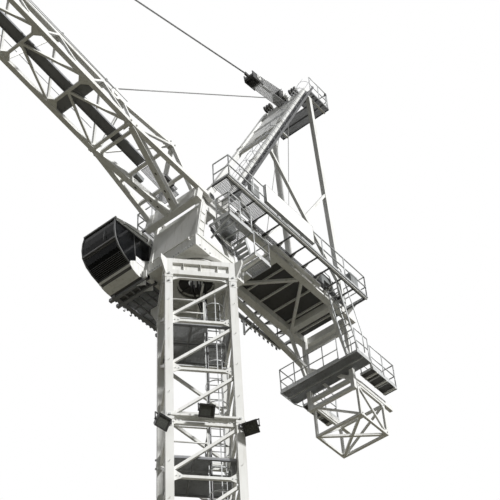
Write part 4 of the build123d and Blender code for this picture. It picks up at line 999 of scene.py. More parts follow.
def makeDeck(values):
    bm, grown = bmesh.new(), []
    rear, front, half, girder, inner, walk, floor = pick(values, "rear front half girder frontInner walk frontFloor")
    addBox(bm, (rear, -girder, girderTop + 0.01), (values["plateFront"], girder, deckTop), deckPlateAndShade)
    long, wide, piece = front - floor, half - walk - inner, (front - rear) / 5
    for side in (1, -1):
        edge = side * (half - 0.045)
        for y, lift, width, depth in ((edge, 0.045, 0.012, 0.09), (edge - side * 0.02, 0.004, 0.05, 0.008),
                                      (edge - side * 0.02, 0.086, 0.05, 0.008)):  # web and flanges of the edge
            addBar(bm, (rear, y, girderTop + lift), (front, y, girderTop + lift), width, depth)
        for step in range(values["joists"]):
            x = rear + 0.045 + step * (front - rear - 0.09) / (values["joists"] - 1)
            behind = x < 0.1
            root = side * (girder if behind else inner)
            # joists in the near-black plate colour: painted shade, for they are seen from below
            for at, z, width, depth in ((x, girderTop + 0.045, 0.012, 0.09),
                                        (x + 0.02, girderTop + 0.005, 0.05, 0.008)):
                addBar(bm, (at, root, z), (at, edge, z), width, depth, ahead, deckPlateAndShade)
            if behind:  # haunch plates under the joists, on the girder's web
                addPlate(bm, [(x, root, girderTop), (x, root + side * 0.42, girderTop), (x, root, girderTop - 0.27)],
                         0.012)
        for k in range(5):
            middle = (rear + piece * (k + 0.5), side * (half - walk / 2), walkTop - gratingDrop)
            grown.append(grating(middle, piece - 0.01, walk - 0.01))
        middle = ((front + floor) / 2, side * (inner + wide / 2), walkTop - gratingDrop)
        grown.append(grating(middle, long - 0.01, wide - 0.01, Pitch=0.055))
        y = side * (half - 0.03)
        addRailing(bm, [(front - 0.04, side * (inner + 0.06), walkTop), (front - 0.04, y, walkTop),
                        (rear + 0.04, y, walkTop)], radius=thickRail, mat=zincSteel)
        for k in range(values["stiffeners"]):  # on the girders' webs
            x, y = -7.0 + k * 0.82, side * (girder + 0.02)
            addBar(bm, (x, y, 15.81), (x, y, 16.09), 0.012, 0.045, ahead)
    addRailing(bm, [(rear + 0.04, 2.1, walkTop), (rear + 0.04, -2.1, walkTop)], radius=thickRail, mat=zincSteel)
    for k in range(values["ribs"]):  # under the plated floor
        x = rear + 0.3 + k * 0.78
        addBar(bm, (x, -0.95, girderTop - 0.03), (x, 0.95, girderTop - 0.03), 0.05, 0.08, ahead)
    x = values["openBar"]  # an angle across the open part of the frame
    addBar(bm, (x, -0.92, 15.9), (x, 0.92, 15.9), 0.07, 0.07, upward)
    finishPiece(bm, "deckFloor", "upper", craneWhite, ["machinery_deck", "deck_railings"], grown)


def makeDeckFittings(values):
    # pipes and a round beam under the left walk, hanging posts, a toothed edge, boxes on the railing
    bm = bmesh.new()
    for k in range(values["pipes"]):
        y = 1.26 + 0.045 * k
        addTube(bm, [(-7.0, y, 16.03), (-1.5, y, 16.03), (-1.2, y - 0.1, 15.9), (-0.9, 1.24, 15.5), (-0.9, 1.12, 14.5)],
                0.018, 6, blackRubber)
    for low, high in values["boxes"]:
        addBox(bm, low, high, machineGrey)
    for x in values["posts"]:  # with their struts, under the right walk
        addBar(bm, (x, -2.05, 16.1), (x, -2.05, 15.35), 0.06)
        addBar(bm, (x, -2.05, 15.4), (x, -1.2, 15.82), 0.05)
    for k in range(values["teeth"]):  # toothed edge of the right walk, near-black: painted shade of the edge seen from below
        x = values["rear"] + 0.15 + k * 0.26
        addBox(bm, (x, -2.12, 16.0), (x + 0.1, -2.1, 16.1), deckPlateAndShade)
    addTube(bm, [(-2.75, 1.33, 15.86), (-5.45, 1.33, 15.86)], 0.075, 16, craneWhite)
    for x in values["clamps"]:
        addBar(bm, (x, 1.2, 15.86), (x, 1.34, 15.86), 0.05, 0.1, upward, craneWhite)
    finishPiece(bm, "deckFittings", "upper", zincSteel)


def makeNameBoard(values):
    # the bare board: a shallow tray with a folded rim, ribs behind and clamps on the rails
    bm = bmesh.new()
    x0, x1, y0, y1 = values["board"]
    z0, z1 = (walkTop + level for level in values["boardLevels"])
    rim = values["rim"]
    addBox(bm, (x0, y1 - rim, z0), (x1, y1, z1))
    boxes = [((x0, y0, z0), (x1, y1, z0 + rim)), ((x0, y0, z1 - rim), (x1, y1, z1)),
             ((x0, y0, z0), (x0 + rim, y1, z1)), ((x1 - rim, y0, z0), (x1, y1, z1))]
    for k in range(1, 5):
        x = x0 + (x1 - x0) * k / 5
        boxes.append(((x - 0.02, y0, z0 + rim), (x + 0.02, y1 - rim, z1 - rim)))
    for z in (z0 + 0.35, z1 - 0.1):
        boxes.append(((x0 + 0.05, y0, z - 0.02), (x1 - 0.05, y0 + 0.03, z + 0.02)))
    for low, high in boxes:
        addBox(bm, low, high, zincSteel)
    finishPiece(bm, "nameBoard", "upper", boardWhite, ["name_board"])


makeDeck(deckValues)
makeDeckFittings(deckValues)
makeNameBoard(deckValues)
print("deck dressed")

# platforms round the turret, at the rear and on the A-frame's head; trays: two corners, level, frame, grating pitch;
# railings: level, gap between posts, radius, points
platformValues = {
    "highFloor": 14.52, "lowFloor": 13.75, "shelf": 13.37, "head": 28.92,
    "trays": (((-0.72, 1.05), (0.5, 1.95), "highFloor", None, 0.055),
              ((-1.75, 1.05), (-0.9, 1.85), "lowFloor", None, 0.055),
              ((-0.3, -1.3), (0.65, -1.05), "highFloor", None, 0.03),
              ((-7.62, -1.74), (-6.75, 1.74), "shelf", None, 0.03),
              ((-9.46, 1.05), (-7.9, 1.6), "shelf", None, 0.03), ((-9.46, -1.05), (-7.9, -1.6), "shelf", None, 0.03),
              ((-8.04, -1.3), (-7.25, 1.3), "head", deckPlateAndShade, 0.03),
              ((-7.25, 0.52), (-6.7, 1.3), "head", deckPlateAndShade, 0.03)),
    "railings": (("highFloor", 0.6, thickRail, ((0.4775, 1.38), (0.4775, 1.9275), (-0.6975, 1.9275))),
                 ("lowFloor", 0.7, thinRail, ((-0.925, 1.8275), (-1.7275, 1.8275), (-1.7275, 1.1))),
                 ("shelf", 0.65, thinRail, ((-6.78, -1.7125), (-6.78, 0.9))),
                 ("head", 0.65, thinRail, ((-6.72, 1.275), (-8.015, 1.275), (-8.015, -1.275), (-7.275, -1.275)))),
    "handLines": (0.3, 0.8), "ladderRails": (1.3, 1.83), "lampPost": (-7.98, 1.25),
}


def addTray(bm, grown, low, high, top, mat=None, pitch=0.03):
    # a grating in a channel frame with cross bearers; low and high are (x, y) corners
    (x0, y0), (x1, y1) = low, high
    y0, y1 = min(y0, y1), max(y0, y1)
    depth = 0.1
    middle = ((x0 + x1) / 2, (y0 + y1) / 2, top - gratingDrop)
    grown.append(grating(middle, x1 - x0 - 0.012, y1 - y0 - 0.012, Pitch=pitch))
    for a, b in (((x0, y0), (x1, y0)), ((x1, y0), (x1, y1)), ((x1, y1), (x0, y1)), ((x0, y1), (x0, y0))):
        start, end = (Vector((*p, top - depth / 2)) for p in (a, b))
        inward = upward.cross(end - start).normalized() * 0.006
        addBar(bm, start + inward, end + inward, depth, 0.01, upward, mat)
    bays = max(2, round((x1 - x0) / 0.45))
    for k in range(1, bays):
        x = x0 + (x1 - x0) * k / bays
        addBar(bm, (x, y0, top - 0.065), (x, y1, top - 0.065), 0.045, 0.05, ahead, mat)


def makePlatforms(values):
    bm, grown = bmesh.new(), []
    high, low, shelf, head = pick(values, "highFloor lowFloor shelf head")
    for nearCorner, farCorner, level, mat, pitch in values["trays"]:
        addTray(bm, grown, nearCorner, farCorner, values[level], mat, pitch)
    for level, gap, radius, points in values["railings"]:
        addRailing(bm, [(x, y, values[level]) for x, y in points], gap=gap, radius=radius)
    for lift in values["handLines"]:  # spare lines on the posts of the high floor
        addTube(bm, [(x, y, high + lift) for x, y in values["railings"][0][3]], 0.016, 7)
    for x in (-0.6, 0.4):  # brackets below the high floor
        addBar(bm, (x, 1.05, 13.95), (x, 1.85, 14.44), 0.05)
        addBar(bm, (x, 1.05, 14.42), (x, 1.9, 14.42), 0.06, 0.07)
    for x in (-1.16, -0.945):  # outriggers of the low floor
        addBar(bm, (x, 1.05, 13.585), (x, 1.85, 13.66), 0.09, 0.1, ahead, craneWhite)
    for y in (1.12, 1.6):  # strings and treads of the steps between them
        addBar(bm, (-1.0, y, low), (-0.72, y, high - 0.04), 0.03, 0.12)
    for k in range(1, 4):
        x, z = -1.0 + 0.28 * k / 4, low + 0.73 * k / 4
        addBar(bm, (x, 1.12, z), (x, 1.6, z), 0.14, 0.02, ahead)
    for side in (1, -1):
        # wings of the rear platform: their railings, links, floor sheets and bearers
        outer, edge, inner = side * 1.7125, side * 1.5775, side * 1.08
        addRailing(bm, [(-6.775, outer, shelf), (-7.59, outer, shelf)], gap=0.8)
        addRailing(bm, [(-7.92, edge, shelf), (-9.44, edge, shelf), (-9.44, inner, shelf)], gap=0.75)
        addRailing(bm, [(-7.95, inner, shelf), (-9.4, inner, shelf)], gap=0.75, kick=False)
        addBar(bm, (-7.6, side * 1.7, 13.3), (-7.9, side * 1.6, 13.3), 0.06)
        y, z = side * 1.325, shelf - 0.052
        addBar(bm, (-7.92, y, z), (-9.44, y, z), 0.53, 0.006, leftward, deckPlateAndShade)
        for x in (-8.2, -8.8, -9.35):
            addBar(bm, (x, side * 1.05, 13.28), (x, side * 1.6, 13.28), 0.05, 0.07, ahead, craneWhite)
        # bearers of the head's floor
        addBar(bm, (-8.04, side * 1.05, head - 0.1), (-6.95, side * 1.05, head - 0.1), 0.08, 0.1, leftward, craneWhite)
    post = values["lampPost"]
    addTube(bm, [(*post, head), (*post, 29.9)], 0.03)
    addTube(bm, [(*post, 29.85), (*post, 30.0)], 0.055, 10, lampBlack)
    for y in values["ladderRails"]:
        addTube(bm, [(-7.12, y, 13.4), (-7.12, y, 14.3), (-6.24, y, 16.95), (-5.95, y, 16.95)], 0.02)
    finishPiece(bm, "platforms", "upper", zincSteel,
                ["turret_platforms", "rear_platforms", "head_platform"], grown)


# the walk behind and under the cab, on its three outriggers; its frame, outriggers, beams, teeth, bearers and hooks are
# dark grey as painted shade, for they are seen from below
cabWalkValues = {"floor": 13.09, "beam": 12.99, "rear": -0.9, "side": -2.575, "outriggers": (-1.15, 0.8, 1.15),
                 "teeth": 12, "bearers": 5, "hooks": (0.3, 0.62)}


def makeCabWalk(values):
    bm, grown = bmesh.new(), []
    floor, beam, rear, side = pick(values, "floor beam rear side")
    addTray(bm, grown, (rear, -2.6), (0.7, -1.05), floor, darkZincAndShade)
    for x in values["outriggers"]:
        addBar(bm, (x, -2.79, beam), (x, -1.05, beam), 0.12, 0.12, ahead, darkZincAndShade)
        addPlate(bm, [(x, -1.17, 12.93), (x, -1.6, 12.93), (x, -1.17, 12.7)], 0.014)
    addBar(bm, (-1.15, -2.54, beam), (1.27, -2.54, beam), 0.12, 0.1, leftward, darkZincAndShade)
    addBox(bm, (rear, -1.17, 12.93), (1.27, -1.05, 13.25))
    for k in range(values["teeth"]):  # toothed outer edge, dark grey as painted shade
        x = -1.05 + k * 0.19
        addBox(bm, (x, -2.61, 12.9), (x + 0.07, -2.58, beam), darkZincAndShade)
    for k in range(values["bearers"]):  # seen from below; dark grey as painted shade
        y = -1.35 - k * 0.28
        addBar(bm, (-1.1, y, 12.98), (1.2, y, 12.98), 0.04, 0.07, leftward, darkZincAndShade)
    for x in values["hooks"]:  # under the outer edge
        addTube(bm, [(x, -2.6, 12.95), (x, -2.6, 12.8), (x + 0.04, -2.6, 12.76), (x + 0.08, -2.6, 12.8)],
                0.014, 6, darkZincAndShade)
    addRailing(bm, [(0.66, side, floor), (-0.875, side, floor), (-0.875, -1.11, floor)], mat=zincSteel, gap=0.75)
    finishPiece(bm, "cabWalk", "upper", craneWhite, ["cab_platform"], grown)


makePlatforms(platformValues)
makeCabWalk(cabWalkValues)
print("platforms dressed")

# cab: curved glazed nose, crowned roof, rounded banded belly, seat and console inside; lines are (x, z)
cabValues = {
    "inner": -1.3, "outer": -2.83, "bulge": 0.13, "rear": 0.7, "eaves": 14.86, "sheet": 0.03,
    "nose": ((2.55, 14.93), (2.575, 14.65), (2.56, 14.35), (2.5, 14.03), (2.34, 13.75), (2.1, 13.52), (1.8, 13.335)),
    "crown": ((0.7, 15.25), (1.3, 15.25), (1.75, 15.17), (2.2, 15.06), (2.55, 14.95)),
    "belly": ((1.8, 13.335), (1.74, 13.25), (1.66, 13.18), (1.57, 13.13), (1.45, 13.08), (1.3, 13.055), (0.7, 13.05)),
    "sill": (0.84, 14.13), "pane": 0.012, "bars": 8, "floor": 13.4,
    "noseBars": ((0.0, 0.05), (3.0, 0.07), (3.25, 0.035), (6.0, 0.06)),
    "rims": ((((0.84, 14.13), (0.84, 14.86), (2.49, 14.86)), 0.022), (((0.84, 14.13), (1.78, 13.45)), 0.022),
             (((1.62, 14.86), (1.5, 13.66)), 0.018)),
    "cushions": ((1.3, 13.82, (0.5, 0.5, 0.13), 0.0), (1.06, 14.16, (0.12, 0.48, 0.6), -0.12),
                 (1.0, 14.55, (0.1, 0.28, 0.18), -0.12)),
}


def outerAt(values, z):
    # the outer side stands out most at half height
    return values["outer"] + values["bulge"] * ((z - 14.15) / 0.95) ** 2


def noseAt(values, share):
    # a place on the nose, counted in its corners
    nose = values["nose"]
    (xa, za), (xb, zb) = nose[int(share)], nose[min(int(share) + 1, 6)]
    return xa + (xb - xa) * (share % 1), za + (zb - za) * (share % 1)


def addSkin(bm, line, values, thickness, inset=0.0, mat=None):
    # a sheet across the cab along a line of (x, z) points
    yi = values["inner"] - inset
    for (xa, za), (xb, zb) in zip(line, line[1:]):
        addPlate(bm, [(xa, yi, za), (xb, yi, zb), (xb, outerAt(values, zb) + inset, zb),
                      (xa, outerAt(values, za) + inset, za)], thickness, mat)


def addSides(bm, outline, values, thickness, inset=0.0, mat=None):
    addPlate(bm, [(x, values["inner"] - inset, z) for x, z in outline], thickness, mat)
    addPlate(bm, [(x, outerAt(values, z) + inset, z) for x, z in outline], thickness, mat)


def makeCab(values):
    bm = bmesh.new()
    yi, x0, eaves, sheet, sill, nose, crown, belly = pick(values, "inner rear eaves sheet sill nose crown belly")
    addSkin(bm, crown, values, sheet)
    addSides(bm, [*crown, (2.54, eaves), (x0, eaves)], values, sheet, 0.015)
    addSides(bm, [*belly[::-1], (1.76, 13.47), sill, (x0, 14.15)], values, sheet, 0.015)
    addSides(bm, [(x0, 14.15), sill, (sill[0], eaves), (x0, eaves)], values, sheet, 0.015, cabFrame)
    # belly in bands: painted sheet, dark recess, painted sheet, dark edge
    for line, thickness, inset, mat in (
            (belly[0:2], sheet, 0.0, None), (((1.72, 13.27), (1.63, 13.2)), 0.02, 0.03, cabFrame),
            (belly[2:6], sheet, 0.0, None), (belly[5:7], sheet, 0.0, cabFrame)):
        addSkin(bm, line, values, thickness, inset, mat)
    yo = outerAt(values, 13.1)
    for x in (0.74, 0.98, 1.22):
        addBar(bm, (x, yi - 0.02, 13.035), (x, yo + 0.02, 13.035), 0.05, 0.03, ahead, cabFrame)
    x = x0 + 0.02
    addPlate(bm, [(x, yi, 13.05), (x, yi, 15.24), (x, yo, 15.24), (x, yo, 13.05)], 0.04)
    # lip over the nose, dark frames of the nose and of the side windows
    addTube(bm, [(2.53, yi + 0.02, 14.96), (2.53, outerAt(values, 14.95) - 0.02, 14.96)], 0.045, 10)
    rims = [([(x - 0.02, z) for x, z in nose], 0.034, 8), *((*rim, 6) for rim in values["rims"])]
    for inside in (True, False):
        for line, radius, sides in rims:
            line = [(x, yi - 0.02 if inside else outerAt(values, z) + 0.02, z) for x, z in line]
            addTube(bm, line, radius, sides, cabFrame)
    for share, size in values["noseBars"]:
        x, z = noseAt(values, share)
        addBar(bm, (x, yi - 0.02, z), (x, outerAt(values, z) + 0.02, z), size, size, ahead, cabFrame)
    for k in range(values["bars"]):  # sun blind and guard bars across the lower nose
        x, z = noseAt(values, 4.5 + 1.4 * (k + 0.5) / values["bars"])
        x, z = x + 0.012, z - 0.012
        addBar(bm, (x, yi - 0.05, z), (x, outerAt(values, z) + 0.04, z), 0.012, 0.012, ahead, cabFrame)
    # bare plate under the side window and the grab rails
    addBox(bm, (1.0, yi, 13.6), (1.52, yi + 0.012, 13.86), boardWhite)
    y = yi + 0.05
    for line in ([(0.78, yi, 14.2), (0.78, y, 14.25), (0.78, y, 14.95), (0.78, yi, 15.0)],
                 [(1.0, yi, 14.97), (1.0, y, 15.0), (2.1, y, 14.93), (2.15, yi, 14.9)]):
        addTube(bm, line, 0.014, 7, cabFrame)
    # inside: floor, seat post, two consoles with levers, instrument post
    middle, floor = (yi + values["outer"]) / 2, values["floor"]
    x1, y0, y1 = x0 + 0.06, yi - 0.06, yo + 0.06
    addPlate(bm, [(x1, y0, floor), (1.75, y0, floor), (1.75, y1, floor), (x1, y1, floor)], sheet, cabInside)
    addTube(bm, [(1.25, middle, floor), (1.25, middle, 13.75)], 0.09, 10, cabInside)
    for y in (middle - 0.4, middle + 0.4):
        addBar(bm, (1.05, y, 13.95), (1.65, y, 13.95), 0.2, 0.14, leftward, cabInside)
        addTube(bm, [(1.55, y, 14.02), (1.57, y, 14.16)], 0.014, 6, cabFrame)
    addTube(bm, [(2.1, middle + 0.45, 13.75), (2.1, middle + 0.45, 14.2)], 0.02, 6, cabFrame)
    addBar(bm, (2.06, middle + 0.3, 14.25), (2.06, middle + 0.6, 14.25), 0.03, 0.2, ahead, cabFrame)
    addTube(bm, [(2.6, middle + 0.3, 14.1), (2.595, middle + 0.32, 14.6)], 0.008, 5, cabFrame)
    bmesh.ops.recalc_face_normals(bm, faces=bm.faces)
    finishPiece(bm, "cabShell", "upper", craneWhite, ["cab_body"])


def makeSeat(values):
    # the driver's seat: two crowned cushions and a head rest
    bm = bmesh.new()
    middle = (values["inner"] + values["outer"]) / 2
    for x, z, size, tilt in values["cushions"]:
        cushion = bmesh.new()
        bmesh.ops.create_cube(cushion, size=2.0)
        bmesh.ops.subdivide_edges(cushion, edges=cushion.edges[:], cuts=5, use_grid_fill=True)
        for v in cushion.verts:  # a rounded, crowned block
            q = v.co / max(sum(abs(p) ** 5 for p in v.co) ** 0.2, 1e-6)
            rise = 1 + 0.08 * (1 - q.x * q.x) * (1 - q.y * q.y)
            shaped = Vector((q.x * size[0] / 2, q.y * size[1] / 2, q.z * size[2] / 2 * rise))
            v.co = Matrix.Rotation(tilt, 3, "Y") @ shaped + Vector((x, middle, z))
        for f in cushion.faces:
            f.smooth = True
        holder = bpy.data.meshes.new("cushion")
        cushion.to_mesh(holder)
        cushion.free()
        bm.from_mesh(holder)
        bpy.data.meshes.remove(holder)
    seat = finishPiece(bm, "driverSeat", "upper", seatCloth)


def makePanes(values):
    bm = bmesh.new()
    nose = [(x - 0.025, z) for x, z in values["nose"]]
    outline = [(0.85, 14.14), (1.76, 13.49), *nose[::-1][1:], (2.52, 14.87), (0.85, 14.87)]
    addSides(bm, outline, values, values["pane"], 0.03)
    addSkin(bm, nose, values, values["pane"], 0.03)
    bmesh.ops.recalc_face_normals(bm, faces=bm.faces)
    finishPiece(bm, "cabPanes", "upper", smokedGlass, ["cab_glass"])


makeCab(cabValues)
makeSeat(cabValues)
makePanes(cabValues)
print("cab made")

# winches: rope wound on the drums, ribs on the motors; drums are (x, radius, length)
winchValues = {"drums": ((-4.15, 0.3, 0.9), (-5.6, 0.36, 1.15)), "rope": 0.013, "bolts": 10, "ribs": 7}


def makeWindings(values):
    bm, grown, spots = bmesh.new(), [], []
    for x, radius, length in values["drums"]:
        z, wound = deckTop + radius + 0.14, length - 0.1
        coil = grow(trees["winding"], {"Radius": radius + 0.012, "Length": wound, "Rope": values["rope"],
                                       "Material": ropeSteel})
        coil.transform(Matrix.Translation((x, wound / 2, z)) @ Matrix.Rotation(math.pi / 2, 4, "X"))
        grown.append(coil)
        for side in (-1, 1):
            for c, s in circle(values["bolts"], radius + 0.05):
                spots.append((Vector((x + c, side * (length / 2 + 0.0225), z + s)), leftward * side, 0.035))
        outer = -(length / 2 + 0.12)
        for k in range(values["ribs"]):
            addRing(bm, (x, outer - 0.04 - k * 0.035, z), leftward, radius * 0.66, radius * 0.55, 0.008, 20)
        y, top = outer - 0.15, z + radius * 0.62
        addBar(bm, (x - 0.1, y, top), (x + 0.1, y, top), 0.16, 0.1)
    finishPiece(bm, "winchDetails", "upper", machineGrey, (), grown + [boltHeads(spots)])


# switch cabinet: doors with handles front and rear, louvres on both ends, a roof plate
cabinetValues = {"rear": -7.25, "front": -6.5, "half": 0.8, "height": 1.5, "doors": 3, "louvre": (0.5, 0.7),
                 "handle": ((0.02, 0.75), (0.05, 0.75), (0.05, 0.95), (0.02, 0.95))}


def makeCabinet(values):
    bm, grown = bmesh.new(), []
    x0, x1, half, doors = pick(values, "rear front half doors")
    z0, z1 = deckTop, deckTop + values["height"]
    width, height = values["louvre"]
    for side in (-1, 1):
        louvre = grow(trees["slats"], {"Width": width, "Height": height, "Material": machineGrey})
        turn = Matrix.Rotation(0 if side < 0 else math.pi, 4, "Z")
        louvre.transform(Matrix.Translation(((x0 + x1) / 2, side * (half + 0.012), z1 - 0.6)) @ turn)
        grown.append(louvre)
    for k in range(doors):
        y = -half + (k + 0.5) * 2 * half / doors
        for face, out in ((x1, 1), (x0, -1)):
            addBox(bm, (face, y - 0.24, z0 + 0.1), (face + out * 0.018, y + 0.24, z1 - 0.08))
            addTube(bm, [(face + out * depth, y + 0.18, z0 + rise) for depth, rise in values["handle"]], 0.01, 6)
    addBox(bm, (x0 - 0.03, -half - 0.03, z1), (x1 + 0.03, half + 0.03, z1 + 0.03))
    finishPiece(bm, "cabinetDoors", "upper", machineGrey, (), grown)


makeWindings(winchValues)
makeCabinet(cabinetValues)
print("machinery dressed")

# A-frame: caged ladder on the left leg, gussets, splices, plated panels, sheaves and the winch ropes;
# shares count along the front legs; panels: lower and upper share, right and left edge
aFrameValues = {"foot": (-0.3, 0, 16.1), "head": (-6.55, 0, 29.0), "gauge": 1.05, "leg": 0.23,
                "crossBars": (0.62, 0.8, 0.95), "splices": (0.03, 0.33, 0.66), "ladderY": 1.37, "ladderWidth": 0.38,
                "stays": 9, "headAxle": (-6.22, 0, 28.94), "blockAxle": (-4.31, 0, 28.39),
                "panels": ((0.68, 0.8, -0.93, 0.6), (0.82, 0.95, -0.93, 0.93)), "smallSheaves": (0.56, 0.7, 0.84),
                "grooves": (-1.5, -0.5, 0.5, 1.5), "keepers": (0.9, 2.4, 4.2), "falls": 8,
                "winchRopes": (((-6.5, 0.16, 28.72), (-5.34, 0.1, 16.75)),
                               ((-6.52, -0.16, 28.72), (-3.95, -0.1, 16.6)))}


def makeAFrameTrim(values):
    bm, spots = bmesh.new(), []
    foot, head, axle, block = (Vector(place) for place in pick(values, "foot head headAxle blockAxle"))
    along = (head - foot).normalized()
    out = along.cross(leftward) * -1
    gauge, half = values["gauge"], values["leg"] / 2

    def onLeg(share, y, lift=0.0):
        return foot + (head - foot) * share + leftward * y + out * lift

    y, wide = values["ladderY"], values["ladderWidth"] / 2
    start = onLeg(0.03, y, -0.06)
    length = (head - foot).length * 0.955
    rungs = grow(trees["ladder"], {"Height": length, "Width": wide * 2, "Hoop Start": 1.6, "Hoop Pitch": 1.05,
                                   "Hoop Radius": 0.33, "Rung": 0.016, "Material": darkZincAndShade})
    rungs.transform(frameAt(start, -leftward, out))
    back = start - out * 0.05 - leftward * 0.06
    for at, width, depth in ((start - leftward * wide, 0.04, 0.09), (start + leftward * wide, 0.04, 0.09),
                             (back, 0.2, 0.012)):  # stiles and back plate
        addBar(bm, at, at + along * length, width, depth, leftward, deckPlateAndShade)
    for k in range(values["stays"]):  # from the ladder to the leg
        at = onLeg(0.07 + 0.11 * k, 0, -0.06)
        addBar(bm, at + leftward * (gauge + half), at + leftward * (y + wide), 0.05, 0.01, along, zincSteel)
    for side in (1, -1):
        inner, leg = side * (gauge - half), side * gauge
        for share in values["crossBars"]:
            addPlate(bm, [onLeg(share - 0.016, inner, 0.03), onLeg(share, inner - side * 0.2, 0.03),
                          onLeg(share + 0.016, inner, 0.03)], gussetSheet)
            for shift in (-0.009, 0.009):
                for lift, axis in ((0.04, out), (0.02, -out)):
                    spots.append((onLeg(share + shift, inner - side * 0.08, lift), axis, 0.04))
        for share in values["splices"]:
            middle = onLeg(share, leg)
            for k in (-0.07, 0.07):
                addBar(bm, middle + along * (k - 0.03), middle + along * (k + 0.03), 0.275)
        addPlate(bm, [onLeg(0.46, leg, -0.1), onLeg(0.5, leg, -0.1), onLeg(0.485, leg, -0.42)], 0.03)
    for low, high, right, left in values["panels"]:  # each in a frame of bars
        outline = (low, right), (low, left), (high, left), (high, right)
        addPlate(bm, [onLeg(*point, 0.02) for point in outline], 0.02)
        for share in (low, high):
            addBar(bm, onLeg(share, -0.93), onLeg(share, 0.93), 0.07, 0.07, along)
    for side in (1, -1):
        for y in values["smallSheaves"]:  # along the head beam, each with its cheek
            spot = axle + leftward * side * y - along * 0.05
            addRing(bm, spot, leftward, 0.17, 0.06, 0.05, 20, blockBlack)
            addRing(bm, spot + leftward * 0.04, leftward, 0.1, 0.05, 0.03, 14)
        for step in values["grooves"]:  # rims of the large sheaves
            shift = leftward * (step * 0.11 + side * 0.034)
            addRing(bm, axle + shift, leftward, 0.36, 0.26, 0.012, 28, blockBlack)
            addRing(bm, block + shift, leftward, 0.265, 0.17, 0.012, 24, blockBlack)
        addRing(bm, block + leftward * side * 0.262, leftward, 0.15, 0.06, 0.02, 20)
        addRing(bm, axle + leftward * side * 0.31, leftward, 0.14, 0.05, 0.02, 20)
        for x, z in circle(6, 0.11):
            for centre, reach in ((block, 0.272), (axle, 0.32)):
                spots.append((centre + Vector((x, side * reach, z)), leftward * side, 0.028))
    for a in values["keepers"]:
        rod = axle + Vector((math.cos(a) * 0.39, 0, math.sin(a) * 0.39))
        addTube(bm, [rod - leftward * 0.26, rod + leftward * 0.26], 0.018, 8, blockBlack)
    for line in values["winchRopes"]:
        addTube(bm, line, 0.014, 7, ropeSteel)
    finishPiece(bm, "aFrameTrim", "upper", craneWhite, (), [rungs, boltHeads(spots)])


def makeFalls(values):
    # the luffing rope's falls between the block and the head
    bm = bmesh.new()
    axle, block = (Vector(place) for place in pick(values, "headAxle blockAxle"))
    run = (axle - block).normalized()
    lift = Vector((-run.z, 0, run.x))
    for k in range(values["falls"]):
        for side in (1, -1):
            shift = leftward * (k - 3.5) * 0.056
            addTube(bm, [block + shift + lift * side * 0.245, axle + shift + lift * side * 0.335], 0.02, layPitch=0.26)
    finishPiece(bm, "luffingFalls", "upper", ropeLight, ["luffing_falls"])


makeAFrameTrim(aFrameValues)
makeFalls(aFrameValues)
print("A-frame dressed")

# jib: gussets, joint plates with pins, rope guides, hand lines, plates at the foot, walkway with landings
jibValues = {"walkHalf": 0.18, "walkSide": 0.07, "walkStart": 2.3, "walkPieces": 8, "bays": 6, "handLine": 0.95,
             "slots": (0.95, 1.25, 1.9), "lugs": (0.3, 0.6), "landings": ((0.26, 0.76, 5.58), (-0.76, -0.12, 5.56)),
             "hump": ((0.95, 2.82), (1.5, 2.86), (1.42, 3.12), (0.98, 3.14)), "humpPins": (1.12, 1.34)}


def jibPlate(bm, outline, thickness):
    addPlate(bm, [onJib(*point) for point in outline], thickness)


def jibBar(bm, start, end, width, depth, mat=None):
    addBar(bm, onJib(*start), onJib(*end), width, depth, leftward, mat)


def addGussets(bm, spots, values, side):
    # plates at the knots of one side chord and of the top chord
    y, plane = side * jibHalf, chordOffset - 0.03
    low, high = chordOffset + 0.07, chordOffset + 0.34
    for k in range(values["bays"] + 1):
        at = jibFoot + jibBay * k
        near, far = max(at - 0.26, jibFoot + 0.01), min(at + 0.26, jibEnd)
        jibPlate(bm, [(near, low, y), (far, low, y), (min(at + 0.16, far), high, y - side * 0.09),
                      (max(at - 0.16, near), high, y - side * 0.09)], gussetSheet)
        root, tip = y - side * 0.08, y - side * 0.36
        jibPlate(bm, [(near, plane, root), (far, plane, root), (at, plane, tip)], gussetSheet)
        for step in (-0.14, 0.0, 0.14):
            if near < at + step < far:
                spots.append((onJib(at + step, low + 0.09, y + side * 0.01), leftward * side, 0.035))
    low, high = topOffset - 0.08, topOffset - 0.26
    for k in range(values["bays"]):
        at = jibFoot + jibBay * (k + 0.5)
        jibPlate(bm, [(at - 0.2, low, side * 0.06), (at + 0.2, low, side * 0.06), (at + 0.1, high, side * 0.15),
                      (at - 0.1, high, side * 0.15)], 0.014)


